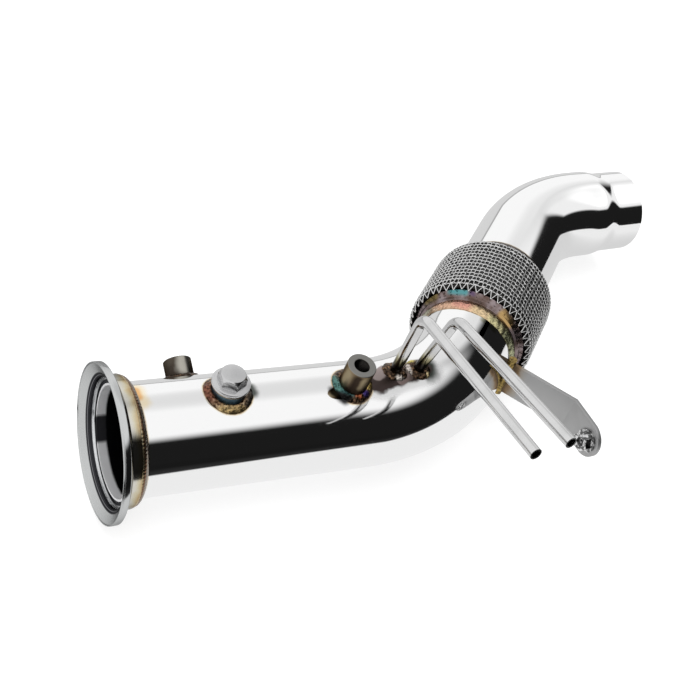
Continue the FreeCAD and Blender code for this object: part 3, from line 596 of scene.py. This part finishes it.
neck_weld = Finish("neck weld bead")
x_along, _ = neck_weld.from_axis(INLET, AHEAD)
drift = neck_weld.grain(60, 3) * 0.28 + neck_weld.grain(420, 2, (0.5, 1, 1)) * 0.22 - 0.25
across_neck = (x_along * 1000 - NECK_END) / NECK_BEAD + drift
neck_stripes = across_neck.colours(
    (0.00, (0.52, 0.46, 0.33)), (0.14, (0.46, 0.34, 0.18)), (0.26, (0.10, 0.06, 0.04)),
    (0.38, (0.30, 0.15, 0.09)), (0.48, (0.12, 0.13, 0.10)), (0.60, (0.42, 0.36, 0.30)),
    (0.70, (0.14, 0.08, 0.06)), (0.84, (0.55, 0.52, 0.46)), (0.94, (0.22, 0.14, 0.09)))
neck_weld.surface(
    base_color=neck_stripes,
    metallic=1.0,
    roughness=0.18 + 0.2 * neck_weld.grain(500, 2),
    normal=neck_weld.relief(neck_weld.grain(700, 2, (0.4, 1, 1)), 0.0003, 0.5))
bead = [(NECK_END + NECK_BEAD * math.sin(math.radians(step)),
         PIPE_RADIUS + NECK_BEAD * math.cos(math.radians(step))) for step in range(0, 91, 15)]
root = PIPE_RADIUS - 0.4
bm = turned([(NECK_END, root), *bead, (NECK_END + NECK_BEAD, root)], Matrix(), steps=640)
rippled(bm, Matrix(), count=110, height=0.16, sweep=0.10)
finished("neck_weld_bead", bm, neck_weld, ["inlet_weld"], crease=60)

# Bosses: three turned steel bosses saddled on the pipe and welded round. The plugged one takes a
# hexagon plug with a sealing washer, and the other two are open and threaded.


def off_centre_line(point):
    """Distance of a point from the main pipe's centre line."""
    if point.x < ELBOW_START:
        return math.hypot(point.y, point.z)
    ring_gap = math.hypot(point.x - ELBOW_CENTRE.x, point.y - ELBOW_CENTRE.y) - ELBOW_CENTRE.y
    return math.hypot(ring_gap, point.z)


SEAT_HEIGHT = 20


def seated(bm, place):
    """Fits a turned shape onto the pipe: its low part is measured from the pipe's skin."""
    axis = place.to_3x3() @ AHEAD
    inverse = place.inverted()
    for vert in bm.verts:
        local = inverse @ vert.co
        if local.x > SEAT_HEIGHT:
            continue
        rise = local.x
        spot = vert.co + axis * (PIPE_RADIUS - rise)
        for _ in range(12):
            spot += axis * (PIPE_RADIUS - off_centre_line(spot))
        vert.co = spot + axis * rise


def saddle_weld(place, foot, held, rise, count, ripple):
    """A rippled fillet of weld between a round piece and the pipe."""
    outline = [(-0.6, foot - 1.2), (0.0, foot)]
    for step in (15, 30, 45, 60, 75):
        turn = math.radians(step)
        outline.append((rise * math.sin(turn) ** 1.3,
                        held + (foot - held) * math.cos(turn) ** 1.1))
    outline += [(rise, held + 0.5), (rise, held - 0.4), (-0.6, held - 0.4)]
    bm = turned(outline, place, steps=count * 8)
    seated(bm, place)
    bmesh.ops.recalc_face_normals(bm, faces=bm.faces)
    bm.normal_update()
    inverse = place.inverted()
    for vert in bm.verts:
        local = inverse @ vert.co
        off = math.hypot(local.y, local.z)
        if off < held + 0.2 or off > foot + 0.5:
            continue
        turn = math.atan2(local.z, local.y)
        wave = (turn * count / math.tau + (off - held) * 0.16) % 1
        lift = ripple * (1 - (2 * wave - 1) ** 2)
        lift += 1.6 * ripple * noise.noise(vert.co * 0.3)
        lift += 0.5 * ripple * noise.noise(vert.co * 1.1)
        vert.co += vert.normal * lift
    return bm


THREAD_PITCH = 1.5
THREAD_GROOVE = 0.65
THREAD_FLOOR = 41
OPEN_BORE = 5.3
SUNK = -0.8


def threaded_boss(place, outside, top):
    """A boss with a chamfered mouth and an internal thread of V grooves."""
    outline = [(SUNK, outside), (top - 0.5, outside), (top, outside - 0.5)]
    outline += [(top, OPEN_BORE + 0.4), (top - 0.4, OPEN_BORE)]
    station = top - 1.6
    while station > THREAD_FLOOR:
        outline += [(station, OPEN_BORE + THREAD_GROOVE), (station - THREAD_PITCH / 2, OPEN_BORE)]
        station -= THREAD_PITCH
    outline.append((SUNK, OPEN_BORE))
    bm = turned(outline, place, steps=96)
    seated(bm, place)
    bmesh.ops.recalc_face_normals(bm, faces=bm.faces)
    return bm


def boss_place(key, up=Vector((0, 1, 0))):
    """A boss's place: on the pipe's centre line, facing out along the boss's axis."""
    return facing(*BOSSES[key], up)


def heat_boss(name, key, top, face, side, foot, bore, tints):
    """Turned steel: bare on its face, browned by heat down its side, and painted near-black as
    shade in its bore.
    """
    finish = Finish(name)
    start, axis = BOSSES[key]
    along, off = finish.from_axis(start * MM, axis)
    cloud = finish.grain(210, 3, (1, 1, 0.35))
    level = along * 1000 + cloud * 9 - 4.5
    hot = 1 - level.between(40, top - 1)
    turning = finish.node("TexNoise", {
        "Vector": finish.node("CombineXYZ", {0: off, 1: along}), "Scale": 3200, "Detail": 2})
    colour = finish.blend(hot, (*side, 1), (*foot, 1))
    colour = finish.tinted(colour, tints)
    face_share = (along * 1000).between(top - 0.5, top - 0.2)
    colour = finish.blend(face_share, colour, (*face, 1))
    # Painted shade: the bore's wall is painted near-black.
    painted_bore_shade = 1 - (off * 1000).between(bore + 0.85, bore + 0.95)
    painted_bore_shade = painted_bore_shade * (1 - (along * 1000).between(top - 0.45, top - 0.2))
    finish.surface(
        base_color=finish.blend(painted_bore_shade, colour, (0.022, 0.02, 0.018, 1)),
        metallic=1.0,
        roughness=0.22 + 0.16 * cloud + 0.14 * face_share,
        specular_tint=(0.35, 0.35, 0.35, 1),
        normal=finish.relief(turning, 0.00005, 0.7))
    return finish


PLUG_BOSS_RADIUS, PLUG_BORE, PLUG_TOP = 11.75, 8.3, 43.8
PROBE_RADIUS, PROBE_TOP = 10, 58.8
REAR_RADIUS, REAR_TOP = 9.5, 51.5
PLUG_BOSS_TINTS = (((86, -9, 40), (90, -6, 40), 5, (0.10, 0.08, 0.06)),)
# Painted reflection: light and dark stripes along the probe boss's side.
PROBE_BOSS_PAINTED_REFLECTION = (
    ((162, -14, 40), (162, -16, 54), 5, (0.05, 0.035, 0.025)),
    ((157, -8, 44), (157, -9, 54), 5, (0.34, 0.28, 0.18)),
    ((168, -15, 46), (168, -16, 52), 5, (0.33, 0.27, 0.17)),
    ((176, -11, 42), (176, -13, 52), 4, (0.14, 0.10, 0.07)),
)
# Painted highlight: a light streak up the rear boss's side.
REAR_BOSS_PAINTED_HIGHLIGHT = (((63, 36, 26), (64, 44, 30), 7, (0.44, 0.42, 0.37)),)
plug_boss_steel = heat_boss(
    "plugged boss steel", "plug", PLUG_TOP, face=(0.45, 0.44, 0.42), side=(0.10, 0.16, 0.20),
    foot=(0.05, 0.09, 0.12), bore=7, tints=PLUG_BOSS_TINTS)
probe_boss_steel = heat_boss(
    "front boss steel", "probe", PROBE_TOP, face=(0.27, 0.265, 0.25), side=(0.24, 0.18, 0.11),
    foot=(0.09, 0.06, 0.04), bore=OPEN_BORE, tints=PROBE_BOSS_PAINTED_REFLECTION)
rear_boss_steel = heat_boss(
    "rear boss steel", "rear", REAR_TOP, face=(0.10, 0.085, 0.07), side=(0.085, 0.07, 0.055),
    foot=(0.045, 0.035, 0.028), bore=OPEN_BORE, tints=REAR_BOSS_PAINTED_HIGHLIGHT)

plug_place = boss_place("plug")
probe_place = boss_place("probe")
rear_place = boss_place("rear", Vector((0, 0.5, -0.3)))
bm = turned([(SUNK, PLUG_BOSS_RADIUS), (PLUG_TOP - 0.4, PLUG_BOSS_RADIUS),
             (PLUG_TOP, PLUG_BOSS_RADIUS - 0.4), (PLUG_TOP, PLUG_BORE), (SUNK, PLUG_BORE)],
            plug_place, steps=96)
seated(bm, plug_place)
bmesh.ops.recalc_face_normals(bm, faces=bm.faces)
finished("plug_boss_body", bm, plug_boss_steel, ["plug_boss"])
bm = threaded_boss(probe_place, PROBE_RADIUS, PROBE_TOP)
finished("probe_boss_body", bm, probe_boss_steel, ["probe_boss"])
bm = threaded_boss(rear_place, REAR_RADIUS, REAR_TOP)
finished("rear_boss_body", bm, rear_boss_steel, ["rear_boss"])

PLUG_WELD_TINTS = (
    ((62, 4, 39), (63, -3, 39), 11, (0.20, 0.085, 0.055)),
    ((64, -12, 37), (62, -7, 38), 5, (0.02, 0.018, 0.014)),
    ((71, -16, 36), (84, -17, 36), 7, (0.46, 0.33, 0.15)),
    ((92, -11, 37), (94, -3, 38), 7, (0.09, 0.075, 0.06)),
)
PROBE_WELD_TINTS = (
    ((152, 3, 39), (157, -9, 38), 6, (0.09, 0.20, 0.18)),
    ((158, -12, 38), (165, -13, 38), 4, (0.04, 0.09, 0.09)),
    ((153, -11, 37), (160, -15, 36), 4, (0.015, 0.015, 0.015)),
    ((167, -14, 37), (169, -15, 36), 3, (0.45, 0.12, 0.05)),
    ((173, -13, 37), (174, -14, 37), 3.2, (0.09, 0.06, 0.30)),
    ((177, -10, 39), (180, -8, 39), 3.5, (0.62, 0.46, 0.16)),
    ((182, -3, 39), (181, 6, 39), 6, (0.16, 0.10, 0.08)),
)
REAR_WELD_TINTS = (((60, 44, 14), (68, 40, 10), 6, (0.05, 0.04, 0.035)),)
for key, place, foot, held, rise, count, warm, tints in (
        ("plug", plug_place, 16.2, PLUG_BOSS_RADIUS, 2.2, 18, 0.0, PLUG_WELD_TINTS),
        ("probe", probe_place, 14.2, PROBE_RADIUS, 2.6, 22, -0.06, PROBE_WELD_TINTS),
        ("rear", rear_place, 12.6, REAR_RADIUS, 1.8, 22, -0.16, REAR_WELD_TINTS)):
    bead_finish = weld_finish(f"{key} boss weld bead", tints, warm)
    bm = saddle_weld(place, foot, held, rise, count, ripple=0.26)
    finished(f"{key}_boss_weld_bead", bm, bead_finish, [f"{key}_boss_weld"],
             crease=60)

# Lambda plug: a plated steel hexagon plug with a collar, turned down onto a flat sealing washer
# that sits on the boss's face.


def from_solid(name, node, finish, ease, crease=30):
    """A smooth copy of a CAD node, its triangles merged and its edges eased."""
    bm = bmesh.new()
    bm.from_mesh(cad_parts[node].data)
    bmesh.ops.scale(bm, vec=(1 / MM, 1 / MM, 1 / MM), verts=bm.verts)
    bmesh.ops.remove_doubles(bm, verts=bm.verts, dist=0.002)
    bmesh.ops.dissolve_limit(bm, angle_limit=math.radians(2), verts=bm.verts, edges=bm.edges)
    if ease:
        eased(bm, ease)
    return finished(name, bm, finish, [node], crease)


plated = Finish("plated plug steel")
plated.surface(
    base_color=plated.blend(plated.grain(120, 3), (0.54, 0.54, 0.55, 1), (0.66, 0.66, 0.66, 1)),
    metallic=1.0,
    roughness=0.16 + 0.12 * plated.grain(300, 3),
    normal=plated.relief(plated.grain(700, 2), 0.00006, 0.5))
from_solid("lambda_plug_body", "lambda_plug", plated, ease=0.3)
washer = Finish("sealing washer")
washer.surface(
    base_color=washer.blend(washer.grain(200, 2), (0.30, 0.22, 0.12, 1), (0.52, 0.42, 0.24, 1)),
    metallic=1.0, roughness=0.35 + 0.1 * washer.grain(400, 2))
WASHER_RADIUS, WASHER_HOLE, WASHER_TOP = 12.1, 8.4, PLUG_TOP + 1.4
bm = turned([(PLUG_TOP, WASHER_RADIUS), (WASHER_TOP, WASHER_RADIUS), (WASHER_TOP, WASHER_HOLE),
             (PLUG_TOP, WASHER_HOLE)], plug_place, steps=96, ease=0.3)
finished("plug_washer_ring", bm, washer, ["plug_washer"])

# Pressure tubes: two thin drawn steel tubes that stand up off the elbow and bend over to the side.
# Each is pushed into a hole in the pipe and welded round its foot.

TUBE_BEND = 10
TUBE_SUNK = 3
drawn = Finish("bright drawn tube")
tube_colour = drawn.blend(drawn.grain(70, 3), (0.56, 0.56, 0.56, 1), (0.80, 0.80, 0.80, 1))
TUBE_HEAT = ((23, (0.62, 0.60, 0.50)), (19, (0.50, 0.44, 0.20)), (16, (0.025, 0.022, 0.02)))
for reach, tint in TUBE_HEAT:
    tube_colour = drawn.tinted(tube_colour, [
        (foot - (corner - foot).normalized() * 3, foot + (corner - foot).normalized() * 4,
         reach, tint) for foot, corner, _ in TUBES.values()])
drawn.surface(
    base_color=tube_colour,
    metallic=1.0,
    roughness=0.09 + 0.08 * drawn.grain(160, 3, (1, 0.15, 1)),
    normal=drawn.relief(drawn.grain(60, 2), 0.00012, 0.3))
FOOT_TINTS = (
    ((203, -4, 39), (206, -6, 39), 3.5, (0.60, 0.55, 0.50)),
    ((220, 12, 38), (214, 12, 38), 5, (0.70, 0.60, 0.16)),
    ((213, -1, 39), (214, 5, 39), 3, (0.55, 0.50, 0.46)),
    ((227, -4, 38), (229, -3, 38), 3, (0.62, 0.50, 0.28)),
)
for key, (foot, corner, end) in TUBES.items():
    leg = (corner - foot).normalized()
    run = (end - corner).normalized()
    turn = leg.angle(run)
    setback = TUBE_BEND * math.tan(turn / 2)
    axis = leg.cross(run).normalized()
    bend_start = corner - leg * setback
    bend_centre = bend_start + axis.cross(leg) * TUBE_BEND
    bm = bmesh.new()
    edge = ring(bm, facing(foot - leg * TUBE_SUNK, leg, AHEAD), TUBE_RADIUS, segments=40)
    edge = run_on(bm, edge, bend_start - foot + leg * TUBE_SUNK, steps=10)
    edge = bend_on(bm, edge, bend_centre, axis, math.degrees(turn), steps=18)
    run_on(bm, edge, run * ((end - corner).length - setback), steps=16)
    walled(bm, TUBE_WALL)
    finished(f"pressure_{key}_tube_body", bm, drawn, [f"pressure_{key}_tube"])
    place = facing(foot - leg * PIPE_RADIUS, leg, Vector((0, 1, 0)))
    tube_weld = weld_finish(f"{key} tube weld bead", FOOT_TINTS, warm=-0.12)
    bm = saddle_weld(place, foot=9, held=TUBE_RADIUS, rise=1.7, count=9, ripple=0.4)
    finished(f"pressure_{key}_tube_weld_bead", bm, tube_weld,
             [f"pressure_{key}_tube_weld"], crease=60)

# Flex joint: two flared end pieces of formed steel, butt welded to the pipes, with a bellows and a
# gas liner between them. The welding left bands of blue, purple and straw on the flares.

FLEX_LENGTH = 93
COLLAR_OUTLINE = (
    (0, 36.2), (0, PIPE_RADIUS), (8.6, PIPE_RADIUS), (9.43, 40.5), (11.44, 41.4), (13.6, 44.1),
    (16.2, 44.1), (16.2, PIPE_RADIUS), (22, PIPE_RADIUS), (22, 36.2))
COLLAR_TINTS = (
    ((291, 81, 34), (297, 74, 38), 5.5, (0.10, 0.33, 0.35)),
    ((300, 71, 40), (301, 70, 40), 4, (0.12, 0.075, 0.15)),
    ((318, 48, 37), (322, 43, 33), 6, (0.50, 0.33, 0.14)),
    ((278, 92, 16), (281, 90, 22), 8, (0.20, 0.15, 0.06)),
)
satin = Finish("formed steel")
cloud = satin.grain(120, 3)
collar_steel = satin.blend(cloud.between(0.3, 0.7), (0.13, 0.085, 0.07, 1), (0.34, 0.28, 0.29, 1))
satin.surface(base_color=satin.tinted(collar_steel, COLLAR_TINTS), metallic=1.0,
              roughness=0.14 + 0.12 * cloud,
              normal=satin.relief(satin.grain(500, 2), 0.00006, 0.4))
BUTT_TINTS = (
    ((279, 76, 26), (293, 58, 38), 9, (0.70, 0.44, 0.30)),
    ((287, 67, 36), (291, 62, 38), 7, (0.72, 0.36, 0.28)),
    ((297, 53, 39), (303, 46, 38), 8, (0.74, 0.56, 0.34)),
    ((306, 42, 37), (314, 35, 31), 8, (0.60, 0.55, 0.30)),
    ((316, 33, 29), (324, 27, 14), 9, (0.50, 0.51, 0.30)),
    ((268, 84, 2), (272, 80, 14), 9, (0.50, 0.48, 0.36)),
)
BUTT_START = -4.3
BUTT_END = 8.1
BUTT_RISE = 1.7
BUTT_ROOT = PIPE_RADIUS - 0.5
FRONT_PLACE = facing(FRONT_BUTT, FLEX_AHEAD)
REAR_PLACE = facing(REAR_BUTT, -FLEX_AHEAD)
for key, place, warm in (("front", FRONT_PLACE, 0.12), ("rear", REAR_PLACE, -0.25)):
    bm = turned(COLLAR_OUTLINE, place, PIPE_SIDES, ease=0.5)
    finished(f"flex_collar_{key}_ring", bm, satin, [f"flex_collar_{key}"],
             crease=40)
    butt = weld_finish(f"{key} butt weld bead", BUTT_TINTS, warm, over=0.45)
    bead = [(BUTT_START + (BUTT_END - BUTT_START) * part / 10,
             PIPE_RADIUS + BUTT_RISE * math.sin(math.pi * part / 10) ** 0.8)
            for part in range(11)]
    bm = turned([(BUTT_START, BUTT_ROOT), *bead, (BUTT_END, BUTT_ROOT)], place, steps=640)
    rippled(bm, place, count=40, height=0.28, sweep=0.05)
    finished(f"flex_weld_{key}_bead", bm, butt, [f"flex_weld_{key}"], crease=60)

# Mesh sleeve: fine steel wire knitted into a tube, course by course, over a second layer painted
# dark, which stands in for the shade between the loops. At each end a row of open loops closes
# down onto the end piece.

STITCHES = 48
COURSES = 11
WIRE = 0.42
SLEEVE = ((9.7, 45.2), (11.2, 47.1), (13.5, 48.5), (16.5, 49.2), (19.5, 49.4))


def sleeve_radius(station):
    """Outside radius of the sleeve at a station from the front butt."""
    station = min(station, FLEX_LENGTH - station)
    for (near, low), (far, high) in zip(SLEEVE, SLEEVE[1:]):
        if station <= far:
            return low + (high - low) * (station - near) / (far - near)
    return SLEEVE[-1][1]


wire = Finish("knitted steel wire")
wire.surface(
    base_color=wire.blend(wire.grain(300, 2), (0.58, 0.58, 0.58, 1), (0.94, 0.94, 0.93, 1)),
    metallic=1.0, roughness=0.20 + 0.1 * wire.grain(900, 2))
# Painted shade: the under layer is near-black, darkest at the ends under the open loops.
under = Finish("mesh painted shade layer")
front_along, _ = under.from_axis(FRONT_BUTT * MM, FLEX_AHEAD)
from_rear, _ = under.from_axis(REAR_BUTT * MM, -FLEX_AHEAD)
barrel = front_along.math("MINIMUM", from_rear).between(0.019, 0.023)
under_painted_shade = under.blend(barrel, (0.035, 0.033, 0.028, 1), (0.13, 0.13, 0.13, 1))
under.surface(
    base_color=under.blend(under.grain(900, 2), under_painted_shade, (0.05, 0.05, 0.05, 1)),
    metallic=1.0, roughness=0.5 + 0.1 * under.grain(900, 2),
    normal=under.relief(under.grain(1400, 2), 0.0003, 0.8))
UNDER_STATIONS = (12.9, 13.5, 16.5, 19.5, 73.5, 76.5, 79.5, 80.1)
UNDER_GAP = 1.1
UNDER_WALL = 0.9
outer = [(station, sleeve_radius(station) - UNDER_GAP) for station in UNDER_STATIONS]
inner = [(station, radius - UNDER_WALL) for station, radius in reversed(outer)]
bm = turned(outer + inner, FRONT_PLACE, steps=144)
finished("mesh_painted_shade_layer", bm, under, ["flex_mesh_sleeve"])

curve = bpy.data.curves.new("mesh_sleeve_wire", "CURVE")
curve.dimensions = "3D"
curve.bevel_depth = WIRE * MM
curve.bevel_resolution = 1
POINTS = 12
HEM_END = 10.1
RING_STATION = 15.4
SECOND_STATION = 20.4


def wire_round(middle, swing, loop, phase=0.0):
    """One wire knitted round the sleeve: it swings along it, in loops as wide as their neck."""
    spline = curve.splines.new("POLY")
    spline.points.add(STITCHES * POINTS - 1)
    spline.use_cyclic_u = True
    for number, point in enumerate(spline.points):
        share = number / POINTS
        uneven = noise.noise(Vector((middle * 1.7, share * 0.7, swing * 9)))
        around = share + loop * math.sin(4 * math.pi * share) + phase + 0.16 * uneven
        station = middle + swing * (math.cos(2 * math.pi * share) + 0.35 * uneven)
        station = min(max(station, HEM_END), FLEX_LENGTH - HEM_END)
        radius = sleeve_radius(station) - 0.35 + 0.32 * math.cos(4 * math.pi * share)
        turn = around * math.tau / STITCHES
        spot = FRONT_PLACE @ Vector((station, radius * math.cos(turn), radius * math.sin(turn)))
        point.co = (*(spot * MM), 1)


hem, second = (RING_STATION - HEM_END) / 2, (SECOND_STATION - RING_STATION) / 2
for side in (1, -1):
    for middle, swing, loop, phase in (
            ((RING_STATION + HEM_END) / 2, side * hem, -0.03, 0.0),
            (RING_STATION, 0.12, 0.0, 0.0),
            ((SECOND_STATION + RING_STATION) / 2, side * second, 0.10, 0.5),
            (SECOND_STATION, 0.25, 0.0, 0.0)):
        wire_round(middle if side > 0 else FLEX_LENGTH - middle, swing, loop, phase)
course_gap = (FLEX_LENGTH - 2 * SECOND_STATION) / COURSES
for course in range(COURSES):
    wire_round(SECOND_STATION + course_gap * (course + 0.5), 0.58 * course_gap, 0.15)
wire_curve = bpy.data.objects.new("mesh_sleeve_curve", curve)
bpy.context.scene.collection.objects.link(wire_curve)
bpy.context.view_layer.update()
wire_mesh = bpy.data.meshes.new_from_object(
    wire_curve.evaluated_get(bpy.context.evaluated_depsgraph_get()))
bpy.data.objects.remove(wire_curve)
wire_mesh.materials.clear()
wire_mesh.materials.append(wire.owner)
sleeve = bpy.data.objects.new("mesh_sleeve_wire", wire_mesh)
bpy.context.scene.collection.objects.link(sleeve)
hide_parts("flex_mesh_sleeve")
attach(sleeve, "root")

for node in ("flex_bellows", "flex_liner"):
    hidden = Finish(f"{node} steel")
    hidden.surface(
        base_color=hidden.blend(hidden.grain(90, 2), (0.60, 0.60, 0.60, 1),
                                (0.70, 0.69, 0.68, 1)),
        metallic=1.0, roughness=0.3 + 0.1 * hidden.grain(200, 2))
    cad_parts[node].data.materials.clear()
    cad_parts[node].data.materials.append(hidden.owner)

# Tail pipe: polished tube like the main pipe, bent back in line with the inlet. Its end is swaged
# from 76 mm down to 71 mm, so that the next pipe slips over it.

tail_polish = Finish("polished tail tube")
after_flex, _ = tail_polish.from_axis(REAR_BUTT * MM, FLEX_AHEAD)
tail_polish.surface(
    base_color=heated(tail_polish, [(after_flex - BUTT_BAND[0], BUTT_BAND[1])]),
    metallic=1.0,
    roughness=0.045 + 0.03 * tail_polish.grain(45, 3),
    normal=tail_polish.relief(tail_polish.grain(14, 1), 0.0004, 0.15))

# The tail has a soft reflector card of its own, which brightens the dark room above its bend.
REFLECTOR_ACROSS, REFLECTOR_HIGH, REFLECTOR_AWAY = 2.4, 1.0, 1.5
REFLECTOR_AIM = mm(470, 165, 30)
REFLECTOR_SIDE = Vector((0.829, 0, 0.559))
reflector = bpy.data.objects.new("tail reflector", bpy.data.lights.new("tail reflector", "AREA"))
reflector.data.shape = "RECTANGLE"
reflector.data.size = REFLECTOR_ACROSS
reflector.data.size_y = REFLECTOR_HIGH
reflector.data.energy = math.pi * REFLECTOR_ACROSS * REFLECTOR_HIGH
reflector.location = REFLECTOR_AIM + REFLECTOR_SIDE * REFLECTOR_AWAY
reflector.rotation_euler = (-REFLECTOR_SIDE).to_track_quat("-Z", "Y").to_euler()
bpy.context.scene.collection.objects.link(reflector)
card = Finish("tail reflector", reflector.data)
card_u, card_v, _ = card.apart(card.node("NewGeometry", output="Parametric"))
card_x = (card_u - 0.5) * REFLECTOR_ACROSS
card_y = (card_v - 0.5) * REFLECTOR_HIGH
# Its bright part has a V-shaped low edge, a hollow top edge and soft sides.
low_edge = (card_y - (card_x - 0.126).math("ABSOLUTE") * 0.5).between(-0.41, -0.28)
top_edge = 1 - (card_y - card_x * card_x * 0.31).between(0.105, 0.43)
side_edges = card_x.between(-1.1, -0.8) * (1 - card_x.between(0.6, 1.07))
card.ends_in("Light", card.node("Emission", {
    "Color": (1, 1, 1, 1), "Strength": low_edge * top_edge * side_edges * 0.9}))

TAIL_STRAIGHT = 68
TAIL_BEND_CENTRE = Vector((498.626, 80.482, 0))
TAIL_TURN = 40.7
TAIL_AHEAD = Vector((0.99719, 0.07498, 0))
BEFORE_SWAGE = 10
SWAGE_START = Vector((499.489, 202.389, 0))
SWAGE_LENGTH = 17
SWAGE_DEPTH = 2.5
SWAGE_STEPS = 12
TAIL_END = 26.5
bm = bmesh.new()
edge = ring(bm, FRONT_PLACE @ Matrix.Translation((FLEX_LENGTH, 0, 0)), PIPE_RADIUS, PIPE_SIDES)
edge = run_on(bm, edge, FLEX_AHEAD * TAIL_STRAIGHT, steps=16)
edge = bend_on(bm, edge, TAIL_BEND_CENTRE, (0, 0, -1), TAIL_TURN, steps=48)
edge = run_on(bm, edge, TAIL_AHEAD * BEFORE_SWAGE, steps=4)
radius = PIPE_RADIUS
for step in range(1, SWAGE_STEPS + 1):
    edge = run_on(bm, edge, TAIL_AHEAD * SWAGE_LENGTH / SWAGE_STEPS, steps=1)
    eased_share = (1 - math.cos(math.pi * step / SWAGE_STEPS)) / 2
    wanted = PIPE_RADIUS - SWAGE_DEPTH * eased_share
    centre = SWAGE_START + TAIL_AHEAD * SWAGE_LENGTH * step / SWAGE_STEPS
    verts = {vert for item in edge for vert in item.verts}
    bmesh.ops.scale(bm, vec=(wanted / radius,) * 3, space=Matrix.Translation(-centre),
                    verts=list(verts))
    radius = wanted
run_on(bm, edge, TAIL_AHEAD * TAIL_END, steps=8)
walled(bm, PIPE_WALL)
tail_pipe = finished("tail_pipe_tube", bm, tail_polish, ["tail_pipe"])
lit_tail = bpy.data.collections.new("lit by the tail reflector")
lit_tail.objects.link(tail_pipe)
reflector.light_linking.receiver_collection = lit_tail

# Bracket: a strap of rolled steel plate on edge, welded to the elbow, bent once and rounded at its
# end, where a flanged nut is welded over its hole.

PLATE_ROOT = mm(308.874, 9.078, 13)
PLATE_AHEAD = Vector((0.6252, -0.7804, 0))
plate = Finish("rolled steel plate")
root_along, _ = plate.from_axis(PLATE_ROOT, PLATE_AHEAD)
plate_cloud = plate.grain(160, 4)
plate_heat = (root_along * 1000 + plate_cloud * 8 - 4).between(0, 16)
plate_tint = plate_heat.colours((0.0, (0.08, 0.06, 0.04)), (0.35, (0.28, 0.19, 0.11)),
                                (0.7, (0.42, 0.38, 0.33)), (1.0, (0.45, 0.45, 0.45)))
plate.surface(
    base_color=plate_tint,
    metallic=1.0,
    roughness=0.42 + 0.15 * plate_cloud,
    normal=plate.relief(plate.grain(900, 3), 0.00008, 0.5))
from_solid("bracket_strap_plate", "bracket_strap", plate, ease=0.35)
bright = Finish("bright nut steel")
bright.surface(
    base_color=bright.blend(bright.grain(330, 3).between(0.42, 0.6), (0.12, 0.12, 0.12, 1),
                            (0.80, 0.80, 0.80, 1)),
    metallic=1.0, roughness=0.08 + 0.1 * bright.grain(300, 2),
    normal=bright.relief(bright.grain(350, 2), 0.0006, 1.0))
from_solid("bracket_nut_body", "bracket_nut", bright, ease=0.3)
STRAP_TINTS = (((306, 12, -20), (312, 6, 30), 40, (0.34, 0.24, 0.08)),)
strap_weld = weld_finish("strap weld bead", STRAP_TINTS, warm=0.0)
from_solid("bracket_weld_bead", "bracket_weld", strap_weld, ease=0.0, crease=60)
